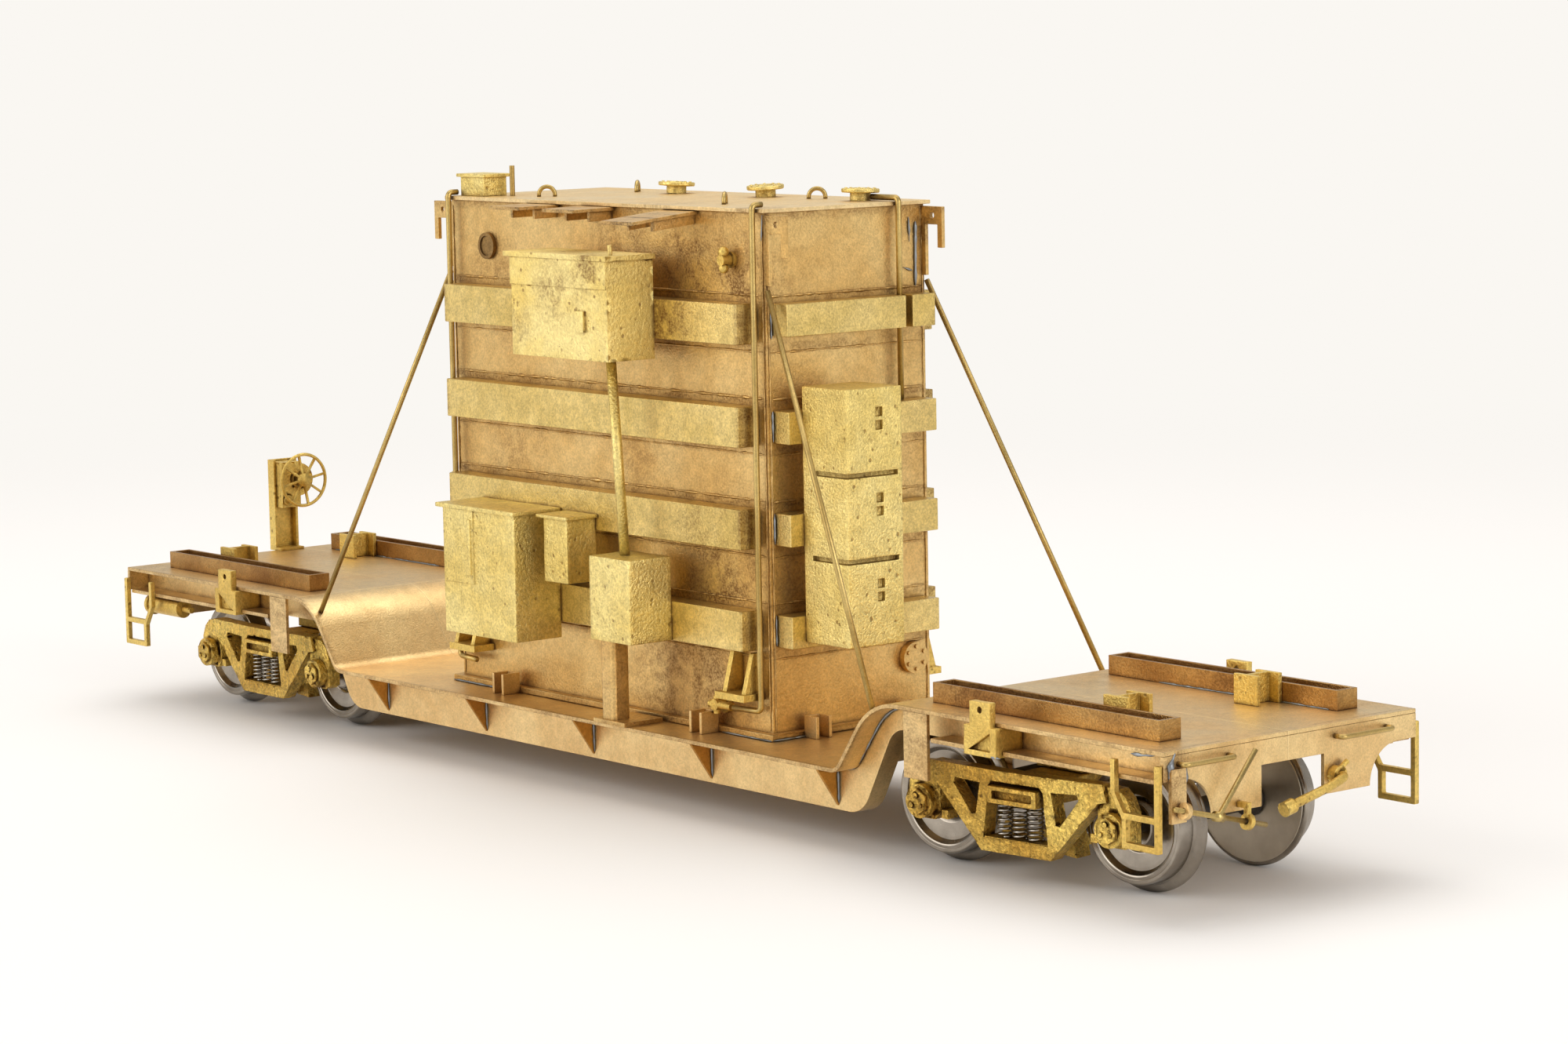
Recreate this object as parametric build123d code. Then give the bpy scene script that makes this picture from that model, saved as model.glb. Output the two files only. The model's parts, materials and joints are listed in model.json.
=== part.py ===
from build123d import *
import os
from math import cos, sin, tan, radians, sqrt

# A brass HO scale (1:87) depressed-centre flat car carrying a power transformer.
# Frame: +X along the track, +Y across it, +Z up. The origin lies under the car's centre,
# on the plane that the wheel flanges stand on. Everything is in millimetres.

# ---- car frame
half_length = 87.0            # centre to the outer face of each end sill
half_width = 16.1             # centreline to the edge of the deck
deck_top = 15.55              # top of the raised end platforms
well_top = 8.3                # top of the depressed middle
sheet = 0.4                   # thickness of the folded deck and of the sill plates
platform_start = 51.4         # where the platform becomes level
deck_lean = 55.0              # slope of the gooseneck, degrees
deck_upper_radius = 6.9
deck_lower_radius = 1.5
sill_face = 13.5              # centreline to the outer face of the side sill web
sill_bottom = 3.7             # underside of the sill below the well
channel_bottom = 12.6         # underside of the sill below the platforms
sill_platform_start = 49.9
sill_lean = 62.0
sill_upper_radius = 2.6
sill_lower_radius = 3.2
inner_flange_width = 1.8      # flange under the gooseneck, inward from the web
outer_flange_start = 56.5     # flange along the platform, outward from the web
outer_flange_end = 86.2
gusset_stations = (-36.5, -18.0, 1.0, 20.5, 40.0)
gusset_thickness = 0.35

# ---- end sills and what they carry
end_deep_bottom = 9.2
end_shallow_bottom = 12.9
notch_half_width = 4.0
deep_half_width = 10.0
wire_radius = 0.24
rail_standoff = 1.0           # grab irons stand this far off the end sill
step_bar = 0.55
step_width = 4.6
step_bottom = 6.6
step_rung = 9.2
step_centre = 84.6
eye_outer_radius = 0.75
eye_thickness = 0.45
lever_axis_x = half_length + 1.1
lever_outer_y = 15.9
lever_outer_z = 10.7
lever_inner_y = 4.6
lever_inner_z = 7.8
lever_running_gap = 0.05
hose_radius = 0.42

# ---- side fittings
bracket_station = 64.15
bracket_width = 4.3
bracket_face = 16.9
bracket_bottom = 12.4
tab_width = 2.7
tab_top = 17.4
tab_hole_radius = 0.3
drop_plate_start = 52.7
drop_plate_width = 3.3
drop_plate_bottom = 8.9

# ---- load trays and stake pockets on the platforms
tray_inner_end = 53.0
tray_length = 30.0
tray_width = 2.7
tray_centre_y = 11.3
tray_height = 1.9
tray_wall = 0.35
pocket_station = 74.6
pocket_length = 3.0
pocket_depth = 3.3
pocket_height = 2.8

# ---- trucks
truck_station = 62.9          # centre of the car to each truck's pivot
truck_a_turn = 6.9            # the +X truck rests turned by this angle, as on a curve, degrees
wheelbase = 22.7
axle_height = 6.5
tread_radius = 5.5
flange_radius = 6.5
wheel_back = 7.2              # centreline to the back of a wheel (14.4 mm back to back)
wheel_width = 2.8
axle_radius = 1.1
journal_radius = 0.8
axle_tip = 12.35              # centreline to the axle's needle point
bearing_gap = 0.05
frame_face = 13.0             # centreline to the outer face of a side frame
frame_back = 11.4
pedestal_face = 12.6
pedestal_back = 11.2
frame_top = 10.5
frame_bottom = 2.75
window_top = 9.35
window_bottom = 4.0
window_half = 3.3
window_flare = 3.9
cap_radius = 1.6
cap_face = 13.9
bolster_half_width = 2.9
bolster_bottom = 7.4
bolster_end_top = 9.0
bolster_top = 9.6
bolster_end_face = 13.6
spring_radius = 0.78
spring_wall = 0.22
spring_pitch = 1.85
spring_row = 12.2
spring_seat_gap = 0.05
kingpin_radius = 1.0
kingpin_gap = 0.05
kingpin_head_radius = 1.9
pivot_gap = 0.05
body_bolster_half_x = 3.0
body_bolster_half_y = 6.0

# ---- hand brake
post_y = 6.1
post_width = 3.3
post_depth = 1.3
post_height = 11.0
brake_wheel_y = 7.2
brake_wheel_z = 24.1
brake_wheel_radius = 3.3
brake_wheel_plane = -84.4
brake_rim_radius = 0.2
spoke_count = 8
spoke_width = 0.26
brake_shaft_radius = 0.45
brake_shaft_gap = 0.05

# ---- transformer tank
tank_half_x = 26.45
tank_half_y = 10.3
tank_top = 60.2
panel = 0.5
lid_thickness = 0.4
lid_overhang = 0.5
base_strip_width = 0.8
base_strip_height = 0.7
band_depth = 2.4
top_band_drop = 8.81          # lid down to the top of the highest side bar
side_band_base = 17.15
side_band_height = 4.0
side_band_half_x = 24.8
end_band_base = 17.5
end_band_height = 3.2
end_band_half_y = 9.6
band_count = 4

# ---- fittings of the tank
cabinet_depth = 6.7
cabinet_y0 = -7.9
cabinet_y1 = -0.9
cabinet_z0 = 18.1
cabinet_z1 = 43.3
cabinet_slot = 0.5
control_box_drop = 4.3        # tank top down to the control box
control_box_height = 10.5
valve_drop = 4.7              # tank top down to the oil valve and the dial
control_box = (               # x from, x to, depth, z from, z to
    -4.4, 11.7, 5.8, tank_top - control_box_drop - control_box_height, tank_top - control_box_drop)
relay_cabinet = (-17.8, -5.1, 5.8, 15.5, 29.1)
terminal_box = (-2.8, 1.2, 3.7, 22.0, 28.9)
junction_box = (7.0, 13.6, 5.3, 17.2, 25.7)
cover_lip = 0.4
conduit_radius = 0.52
column_x = 7.0
column_y = -15.0
column_side = 2.2
rod_radius = 0.28
rod_head = (26.8, 10.3, tank_top - 7.6)
rod_foot_x = 47.2
rod_foot_y = 15.0
rod_foot_gap = 0.06
pipe_radius = 0.3
pipe_bend = 0.5
pipe_standoff = 0.1
pad_plate_z = 12.2
pad_reach = 2.7
bushing_stations = (-8.0, 7.0, 22.0)
bushing_y = 5.8
lug_reach = 3.2
hood_sheet = 0.35
hood_cheek = 1.0
hood_sizes = (                # x from, x to, reach of the cheeks, overhang, drop at the tip
    (-11.6, -7.4, 2.9, 2.4, 0.05),
    (-2.2, 2.0, 2.9, 2.5, 0.1),
    (11.4, 15.6, 5.3, 2.9, 0.8),
)
loop_x = 15.0
loop_y = 6.0

# ---- worked out from the sizes above
deck_under = deck_top - sheet
well_under = well_top - sheet
band_face = tank_half_y + band_depth
band_span = tank_top - top_band_drop - side_band_height - side_band_base
band_pitch = band_span / (band_count - 1)
valve_z = tank_top - valve_drop
end_band_face = tank_half_x + band_depth
lid_top = tank_top + lid_thickness
shaft_start = -half_length + 0.4
rim_outer = wheel_back + wheel_width


# ---------------------------------------------------------------- small builders
def block(x0, x1, y0, y1, z0, z1):
    middle = Pos((x0 + x1) / 2, (y0 + y1) / 2, (z0 + z1) / 2)
    return middle * Box(abs(x1 - x0), abs(y1 - y0), abs(z1 - z0))


def rod(start, end, radius):
    run = Vector(*end) - Vector(*start)
    return extrude(Plane(origin=start, z_dir=run) * Circle(radius), amount=run.length)


def bent_wire(points, bend, radius):
    path = FilletPolyline(*points, radius=bend)
    run = Vector(*points[1]) - Vector(*points[0])
    return sweep(Plane(origin=points[0], z_dir=run) * Circle(radius), path=path)


def plate_across_y(outline, y0, y1):
    edge = Polyline(*[(x, y0, z) for x, z in outline], close=True)
    return extrude(make_face(edge), amount=y1 - y0, dir=(0, 1, 0))


def plate_across_x(outline, x0, x1):
    edge = Polyline(*[(x0, y, z) for y, z in outline], close=True)
    return extrude(make_face(edge), amount=x1 - x0, dir=(1, 0, 0))


def turned_about_y(outline):
    edge = Polyline(*[(r, y, 0) for r, y in outline], close=True)
    return revolve(make_face(edge), Axis.Y)


def disc_across_y(x, z, radius, y0, y1):
    return extrude(Plane(origin=(x, y0, z), z_dir=(0, 1, 0)) * Circle(radius), amount=y1 - y0)


def disc_across_x(y, z, radius, x0, x1):
    return extrude(Plane(origin=(x0, y, z), z_dir=(1, 0, 0)) * Circle(radius), amount=x1 - x0)


def other_side(shape):
    return mirror(shape, Plane.XZ)


def other_end(shape):
    return mirror(shape, Plane.YZ)


def turned_end(shape):
    return Rot(0, 0, 180) * shape


def group(*shapes):
    solids = [solid for shape in shapes for solid in shape.solids()]
    return Compound(children=solids)


def four_corners(shape):
    return group(shape, other_side(shape), other_end(shape), other_end(other_side(shape)))


# ---------------------------------------------------------------- the S of the goosenecks
def s_curve(flat_x, high, low, upper_radius, lower_radius, lean):
    """Points of one gooseneck line: well end, arc, slope foot, slope head, arc, platform start."""
    angle = radians(lean)
    head_x = flat_x - upper_radius * sin(angle)
    head_z = high - upper_radius + upper_radius * cos(angle)
    foot_z = low + lower_radius - lower_radius * cos(angle)
    foot_x = head_x - (head_z - foot_z) / tan(angle)
    well_x = foot_x - lower_radius * sin(angle)
    half = angle / 2
    low_arc = (well_x + lower_radius * sin(half), low + lower_radius * (1 - cos(half)))
    high_arc = (flat_x - upper_radius * sin(half), high - upper_radius * (1 - cos(half)))
    return [(well_x, low), low_arc, (foot_x, foot_z), (head_x, head_z), high_arc, (flat_x, high)]


def car_line(curve, end_x, y):
    """Edges of a line that runs the length of the car and follows both goosenecks."""
    right = [Vector(x, y, z) for x, z in curve]
    left = [Vector(-x, y, z) for x, z in curve]
    high = right[5].Z
    return [
        Line(Vector(-end_x, y, high), left[5]),
        ThreePointArc(left[5], left[4], left[3]),
        Line(left[3], left[2]),
        ThreePointArc(left[2], left[1], left[0]),
        Line(left[0], right[0]),
        ThreePointArc(right[0], right[1], right[2]),
        Line(right[2], right[3]),
        ThreePointArc(right[3], right[4], right[5]),
        Line(right[5], Vector(end_x, y, high)),
    ]


def between_lines(upper, lower, upper_end, lower_end, y0, y1):
    """Solid between two gooseneck lines, from y0 to y1."""
    top = car_line(upper, upper_end, y0)
    bottom = car_line(lower, lower_end, y0)
    right_end = Line(top[-1] @ 1, bottom[-1] @ 1)
    left_end = Line(bottom[0] @ 0, top[0] @ 0)
    outline = Wire(top + [right_end] + bottom + [left_end])
    return extrude(Face(outline), amount=y1 - y0, dir=(0, 1, 0))


deck_curve = s_curve(platform_start, deck_top, well_top,
                     deck_upper_radius, deck_lower_radius, deck_lean)
under_curve = s_curve(platform_start, deck_under, well_under,
                      deck_upper_radius - sheet, deck_lower_radius + sheet, deck_lean)
sill_curve = s_curve(sill_platform_start, channel_bottom, sill_bottom,
                     sill_upper_radius, sill_lower_radius, sill_lean)
flange_curve = s_curve(sill_platform_start, channel_bottom + sheet, sill_bottom + sheet,
                       sill_upper_radius + sheet, sill_lower_radius - sheet, sill_lean)


# ---------------------------------------------------------------- car frame
def deck_plate():
    return between_lines(deck_curve, under_curve, half_length, half_length,
                         -half_width, half_width)


def side_sill():
    """Web and flanges of the sill on the -Y side."""
    end_x = half_length - sheet
    web = between_lines(under_curve, sill_curve, end_x, end_x, -sill_face, -sill_face + sheet)
    inner_edge = -sill_face + sheet + inner_flange_width
    inner = between_lines(flange_curve, sill_curve, outer_flange_start, outer_flange_start,
                          -sill_face + sheet, inner_edge)
    sill = web + inner
    for side in (-1, 1):
        strip = block(side * outer_flange_start, side * outer_flange_end,
                      -half_width, -sill_face, channel_bottom, channel_bottom + sheet)
        sill = sill + strip
        gap = bracket_width / 2 + rod_foot_gap
        middle = side * bracket_station
        sill = sill - block(middle - gap, middle + gap, -half_width - 1, -sill_face,
                            channel_bottom - 1, deck_under)
    return sill


def sill_gussets():
    """Triangular plates under the lip of the well deck."""
    outline = [(-half_width, well_under), (-sill_face, well_under), (-sill_face, sill_bottom + sheet)]
    pieces = []
    for station in gusset_stations:
        gusset = plate_across_x(outline, station - gusset_thickness / 2,
                                station + gusset_thickness / 2)
        pieces += [gusset, other_side(gusset)]
    return group(*pieces)


def end_sill():
    """End plate at +X: two deep parts beside the coupler notch, quarter-round outside them."""
    round_radius = end_shallow_bottom - end_deep_bottom
    plate = block(half_length - sheet, half_length, -half_width, half_width,
                  end_deep_bottom, deck_under)
    plate -= block(half_length - 1, half_length + 1, -notch_half_width, notch_half_width,
                   end_deep_bottom - 1, end_shallow_bottom)
    for side in (-1, 1):
        middle = side * (deep_half_width + round_radius)
        plate -= disc_across_x(middle, end_deep_bottom, round_radius,
                               half_length - 1, half_length + 1)
        plate -= block(half_length - 1, half_length + 1, middle, side * (half_width + 1),
                       end_deep_bottom - 1, end_shallow_bottom)
    return plate


def grab_irons():
    """Two staple-shaped wires on the end sill at +X."""
    face = half_length
    out = half_length + rail_standoff
    wires = []
    for y0, y1 in ((-14.3, -8.2), (5.4, 12.1)):
        points = [(face, y0, 14.35), (out, y0, 14.35), (out, y1, 14.35), (face, y1, 14.35)]
        wires.append(bent_wire(points, 0.4, wire_radius))
    return wires


def stirrup_step():
    """Two-rung step hung from the deck edge at the +X, -Y corner."""
    y0 = -half_width - step_bar
    y1 = -half_width
    x0 = step_centre - step_width / 2
    x1 = step_centre + step_width / 2
    top = deck_under - 0.8
    kink = step_rung + 2.2
    outer = block(x1 - step_bar, x1, y0, y1, step_bottom, top)
    inner = block(x0, x0 + step_bar, y0, y1, step_bottom, step_rung)
    lean = plate_across_y([(x0, step_rung), (x0 + step_bar, step_rung),
                           (x0 + step_bar - 1.4, kink), (x0 - 1.4, kink)], y0, y1)
    hanger = block(x0 - 1.4, x0 - 1.4 + step_bar, y0, y1, kink, top)
    rungs = block(x0, x1, y0, y1, step_bottom, step_bottom + step_bar)
    rungs += block(x0, x1, y0, y1, step_rung, step_rung + step_bar)
    return outer + inner + lean + hanger + rungs


def lever_point(y):
    """Point of the uncoupling lever's straight shaft at this y, on the -Y side of +X."""
    share = (y + lever_outer_y) / (lever_outer_y - lever_inner_y)
    return (lever_axis_x, y, lever_outer_z + share * (lever_inner_z - lever_outer_z))


def uncoupling_lever():
    """Straight shaft in two eyes, with a handle arm that stands in front of the end sill."""
    shaft = rod(lever_point(-lever_outer_y), lever_point(-lever_inner_y), wire_radius)
    elbow = lever_point(-10.5)
    arm = rod(elbow, (lever_axis_x + 0.35, -6.2, 14.8), wire_radius)
    collar = rod(lever_point(-11.0), lever_point(-10.0), wire_radius * 1.9)
    return shaft + arm + collar


def lever_eye(y):
    """Ring round the lever's shaft at this y."""
    start = Vector(*lever_point(y - eye_thickness / 2))
    end = Vector(*lever_point(y + eye_thickness / 2))
    hole = wire_radius + lever_running_gap
    before = start + (start - end)
    after = end + (end - start)
    return rod(start, end, eye_outer_radius) - rod(before, after, hole)


def lever_hanger():
    """Strip down the corner of the end sill, carrying the lever's outer eye."""
    eye_y = -14.6
    strip = block(half_length, half_length + sheet, -15.5, -13.7, end_deep_bottom, 14.0)
    stub = block(half_length + sheet, lever_axis_x - wire_radius - 0.25, eye_y - eye_thickness / 2,
                 eye_y + eye_thickness / 2, lever_point(eye_y)[2] - 0.3,
                 lever_point(eye_y)[2] + 0.3)
    return strip + stub + lever_eye(eye_y)


def lever_eyebolt():
    """Eye hung from a foot on the end sill's deep part, round the lever's inner end."""
    eye_y = -6.9
    centre_z = lever_point(eye_y)[2]
    foot = block(half_length, lever_axis_x + 0.25, eye_y - 0.25, eye_y + 0.25, 9.6, 10.1)
    shank = block(lever_axis_x - 0.25, lever_axis_x + 0.25, eye_y - eye_thickness / 2,
                  eye_y + eye_thickness / 2, centre_z + wire_radius + 0.2, 10.1)
    return foot + shank + lever_eye(eye_y)


def air_hose():
    """Brake hose casting on the +Y side of the notch at +X, with angle cock and coupling head."""
    face = half_length
    points = [(face, 5.2, 10.9), (face + 1.5, 5.2, 10.9), (face + 1.9, 2.6, 10.3),
              (face + 2.1, -3.0, 9.2)]
    hose = bent_wire(points, 0.6, hose_radius)
    cock = rod((face, 5.2, 10.9), (face + 0.9, 5.2, 10.9), 0.85)
    handle = rod((face + 0.55, 5.2, 11.3), (face + 0.55, 6.4, 12.0), 0.25)
    head = rod((face + 2.1, -2.2, 9.36), (face + 2.1, -3.4, 9.1), 0.68)
    return hose + cock + handle + head


def body_bolster():
    """Block under the deck that the truck turns against, bored for the kingpin screw."""
    x0 = truck_station - body_bolster_half_x
    x1 = truck_station + body_bolster_half_x
    bolster = block(x0, x1, -body_bolster_half_y, body_bolster_half_y,
                    bolster_top + pivot_gap, deck_under)
    wings = block(x0 + 1.2, x1 - 1.2, -sill_face + sheet, sill_face - sheet,
                  deck_under - 1.6, deck_under)
    hole = Pos(truck_station, 0, deck_under - 4.5) * Cylinder(kingpin_radius, 9.0)
    return bolster + wings - hole


def kingpin_screw():
    """Screw with a pan head, from below the truck bolster up into the body bolster."""
    shank_top = bolster_top + 3.4
    shank = Pos(truck_station, 0, (bolster_bottom + shank_top) / 2) * Cylinder(
        kingpin_radius, shank_top - bolster_bottom)
    head_top = bolster_bottom - pivot_gap
    neck = Pos(truck_station, 0, bolster_bottom) * Cylinder(kingpin_radius, 0.4)
    head = Pos(truck_station, 0, head_top - 0.45) * Cylinder(kingpin_head_radius, 0.9)
    slot = block(truck_station - kingpin_head_radius, truck_station + kingpin_head_radius,
                 -0.25, 0.25, head_top - 1.0, head_top - 0.5)
    return shank + neck + head - slot


def drop_plate():
    """Flat plate hanging beside the gooseneck, ahead of the wheel."""
    return block(drop_plate_start, drop_plate_start + drop_plate_width,
                 -half_width, -half_width + sheet, drop_plate_bottom, deck_under)


def jacking_bracket():
    """Cast bracket on the platform sill with a triangular pocket and a holed tab."""
    x0 = bracket_station - bracket_width / 2
    x1 = bracket_station + bracket_width / 2
    body = block(x0, x1, -bracket_face, -sill_face, bracket_bottom, deck_under)
    body -= plate_across_y([(x0 + 0.6, bracket_bottom + 0.5), (x1 - 0.8, bracket_bottom + 0.5),
                            (x1 - 0.8, deck_under - 0.5)], -bracket_face, -bracket_face + 0.5)
    tab_x0 = bracket_station - tab_width / 2
    tab = block(tab_x0, tab_x0 + tab_width, -bracket_face, -half_width, deck_under - 0.3, tab_top)
    tab -= disc_across_y(bracket_station, tab_top - 0.75, tab_hole_radius,
                         -bracket_face - 1, -half_width + 1)
    return body + tab


def load_tray():
    """Long open-topped tray at +X, -Y."""
    x1 = tray_inner_end + tray_length
    y0 = -tray_centre_y - tray_width / 2
    y1 = -tray_centre_y + tray_width / 2
    tray = block(tray_inner_end, x1, y0, y1, deck_top, deck_top + tray_height)
    hollow = block(tray_inner_end + tray_wall, x1 - tray_wall, y0 + tray_wall, y1 - tray_wall,
                   deck_top + tray_wall, deck_top + tray_height + 1)
    return tray - hollow


def stake_pocket():
    """Short upright H-section against the inner wall of the tray at +X, -Y."""
    x0 = pocket_station - pocket_length / 2
    x1 = pocket_station + pocket_length / 2
    y1 = -tray_centre_y + tray_width / 2 + pocket_depth
    y0 = y1 - pocket_depth
    top = deck_top + pocket_height
    flange = 0.45
    section = block(x0, x1, y0, y0 + flange, deck_top, top)
    section += block(x0, x1, y1 - flange, y1, deck_top, top)
    section += block(pocket_station - flange / 2, pocket_station + flange / 2, y0, y1, deck_top, top)
    return section


# ---------------------------------------------------------------- hand brake at -X
def brake_post():
    """Upright channel on a foot at the end of the -X platform, open toward the deck."""
    web_x = -half_length - post_depth + 0.3
    y0 = post_y - post_width / 2
    y1 = post_y + post_width / 2
    top = deck_top + post_height
    post = block(web_x, web_x + 0.35, y0, y1, deck_top, top)
    post += block(web_x, web_x + post_depth, y0, y0 + 0.35, deck_top, top)
    post += block(web_x, web_x + post_depth, y1 - 0.35, y1, deck_top, top)
    post += block(web_x, -half_length + 1.4, y0, y1, deck_top, deck_top + 0.35)
    return post


def brake_gear_box():
    """Rounded gear casting held in the channel; the wheel's shaft turns in it."""
    back = -half_length - post_depth + 0.65
    y0 = post_y - post_width / 2 + 0.35
    y1 = post_y + post_width / 2 - 0.35
    front = back + 2.2
    box = block(back, front, y0, y1, brake_wheel_z - 3.3, brake_wheel_z + 2.2)
    drum = disc_across_x(brake_wheel_y, brake_wheel_z, 2.0, -half_length + 0.5, front)
    case = box + drum
    case = case + disc_across_x(brake_wheel_y, brake_wheel_z, 1.1, front, front + 0.5)
    pawl = disc_across_x(post_y - 0.6, brake_wheel_z - 2.4, 0.6, front, front + 0.4)
    bore = disc_across_x(brake_wheel_y, brake_wheel_z, brake_shaft_radius + brake_shaft_gap,
                         shaft_start - brake_shaft_gap, front + 2)
    return case + pawl - bore


def brake_wheel():
    """Spoked wheel on its shaft, in a plane across the car."""
    plane_x = brake_wheel_plane
    middle = Pos(plane_x, brake_wheel_y, brake_wheel_z)
    reach = brake_wheel_radius - brake_rim_radius
    section = Plane.XZ * Pos(reach, 0) * RegularPolygon(brake_rim_radius, 8)
    wheel = middle * Rot(0, 90, 0) * revolve(section, Axis.Z)
    wheel += disc_across_x(brake_wheel_y, brake_wheel_z, 0.8, plane_x - 0.35, plane_x + 0.35)
    wheel += disc_across_x(brake_wheel_y, brake_wheel_z, brake_shaft_radius, shaft_start, plane_x)
    for index in range(spoke_count // 2):
        turn = Rot(360 / spoke_count * index + 11, 0, 0)
        wheel += middle * turn * Box(spoke_width, spoke_width, 2 * reach)
    return wheel


def brake_cylinder():
    """Air cylinder hung under the -X platform, outside the sill flange."""
    y = -(sill_face + 1.0)
    z = 11.35
    barrel = rod((-83.6, y, z), (-77.2, y, z), 1.05)
    cap = rod((-84.1, y, z), (-83.6, y, z), 1.25)
    push = rod((-77.2, y, z), (-75.4, y, z), 0.35)
    hanger = block(-81.4, -79.4, y - 0.4, y + 0.4, z + 0.6, channel_bottom)
    return barrel + cap + push + hanger


# ---------------------------------------------------------------- trucks, about their pivot
def frame_window_outline():
    return [(-window_half + 0.4, window_top), (window_half - 0.4, window_top),
            (window_half, window_top - 0.5), (window_half + 0.15, bolster_bottom),
            (window_flare, window_bottom), (-window_flare, window_bottom),
            (-window_half - 0.15, bolster_bottom), (-window_half, window_top - 0.5)]


def side_frame():
    """Cast side frame on the -Y side of a truck centred on the origin in X and Y."""
    half_base = wheelbase / 2
    reach = half_base - 1.1
    outline = [(-reach, frame_top), (-2.6, frame_top - 0.15), (2.6, frame_top - 0.15),
               (reach, frame_top), (reach + 0.5, frame_top - 1.6), (reach - 0.5, 8.7),
               (4.15, frame_bottom), (-4.15, frame_bottom), (-reach + 0.5, 8.7),
               (-reach - 0.5, frame_top - 1.6)]
    frame = plate_across_y(outline, -frame_face, -frame_back)
    pedestal_outline = [(half_base - 1.9, frame_top - 0.2), (half_base + 0.5, frame_top - 0.3),
                        (half_base + 1.4, frame_top - 1.1), (half_base + 1.95, axle_height + 1.6),
                        (half_base + 1.95, axle_height - 1.3), (half_base + 1.2, axle_height - 1.7),
                        (half_base - 1.2, axle_height - 1.7), (half_base - 1.9, axle_height - 1.0)]
    for side in (-1, 1):
        pedestal = plate_across_y([(side * x, z) for x, z in pedestal_outline],
                                  -pedestal_face, -pedestal_back)
        cap = disc_across_y(side * half_base, axle_height, cap_radius, -cap_face + 0.35,
                            -pedestal_face)
        hexagon = Plane(origin=(side * half_base, -cap_face, axle_height), z_dir=(0, 1, 0))
        nut = extrude(hexagon * RegularPolygon(cap_radius * 0.78, 6), amount=0.35)
        frame = frame + pedestal + cap + nut
        for turn in range(3):
            angle = radians(90 + 120 * turn)
            bolt_x = side * half_base + 0.62 * cos(angle)
            bolt_z = axle_height + 0.62 * sin(angle)
            frame += disc_across_y(bolt_x, bolt_z, 0.24, -cap_face - 0.18, -cap_face)
        triangle = [(side * x, z) for x, z in
                    ((4.25, 9.05), (7.3, 9.2), (7.5, 8.7), (5.3, 6.0), (4.8, 6.1))]
        frame -= plate_across_y(triangle, -frame_face - 1, -frame_back + 1)
        lug = block(side * (half_base - 2.8), side * (half_base - 2.0), -pedestal_face,
                    -pedestal_back, axle_height - 1.5, axle_height - 0.7)
        frame = frame + lug
    frame -= plate_across_y(frame_window_outline(), -frame_face - 1, -frame_back + 1)
    for side in (-1, 1):
        point = axle_tip + bearing_gap
        mouth = journal_radius + bearing_gap
        socket = Polyline((0, -point, 0), (mouth, -point + mouth, 0), (mouth, -pedestal_back + 1, 0),
                          (0, -pedestal_back + 1, 0), close=True)
        hollow = revolve(make_face(socket), Axis.Y)
        frame -= Pos(side * half_base, 0, axle_height) * hollow
    seat = block(-window_flare + 0.1, window_flare - 0.1, -frame_face + 0.05, -frame_back + 0.25,
                 window_bottom - 0.45, window_bottom + 0.1)
    return frame + seat


def brake_beam():
    """Bar between the side frames with a shoe facing each wheel, on the +X half of a truck."""
    x0 = 2.2
    beam = block(x0, x0 + 0.8, -frame_back, frame_back, frame_bottom + 0.3, frame_bottom + 1.1)
    for side in (-1, 1):
        y0 = side * (wheel_back + 0.6)
        y1 = side * (rim_outer - 0.2)
        outline = [(x0, frame_bottom), (4.6, frame_bottom - 0.2), (4.25, 4.4), (3.9, 5.2),
                   (3.4, 5.2), (x0 + 0.6, 4.0), (x0, 3.8)]
        beam += plate_across_y(outline, min(y0, y1), max(y0, y1))
    return beam


def truck_frames():
    near = side_frame()
    beam = brake_beam()
    return [near, other_side(near), beam, other_end(beam)]


def truck_bolster():
    """Crossbeam with a boxed end through each side frame window."""
    middle_y = frame_back - 0.6
    beam = block(-bolster_half_width, bolster_half_width, -middle_y, middle_y,
                 bolster_bottom, bolster_top)
    for side in (-1, 1):
        end = block(-bolster_half_width, bolster_half_width, side * middle_y,
                    side * bolster_end_face, bolster_bottom, bolster_end_top)
        pocket = block(-bolster_half_width + 0.55, bolster_half_width - 0.55,
                       side * (bolster_end_face - 0.55), side * (bolster_end_face + 1),
                       bolster_bottom + 0.45, bolster_end_top - 0.4)
        beam = beam + end - pocket
    hole = Pos(0, 0, bolster_top) * Cylinder(kingpin_radius + kingpin_gap, 8)
    return beam - hole


def truck_springs():
    """Coil springs as sleeves of their outer size, three in each window."""
    bottom = window_bottom + 0.1 + spring_seat_gap
    top = bolster_bottom - spring_seat_gap
    sleeves = []
    for side in (-1, 1):
        for column in (-1, 0, 1):
            middle = Pos(column * spring_pitch, side * spring_row, (bottom + top) / 2)
            sleeve = Cylinder(spring_radius, top - bottom)
            sleeve -= Cylinder(spring_radius - spring_wall, top - bottom + 1)
            sleeves.append(middle * sleeve)
    return sleeves


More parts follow.
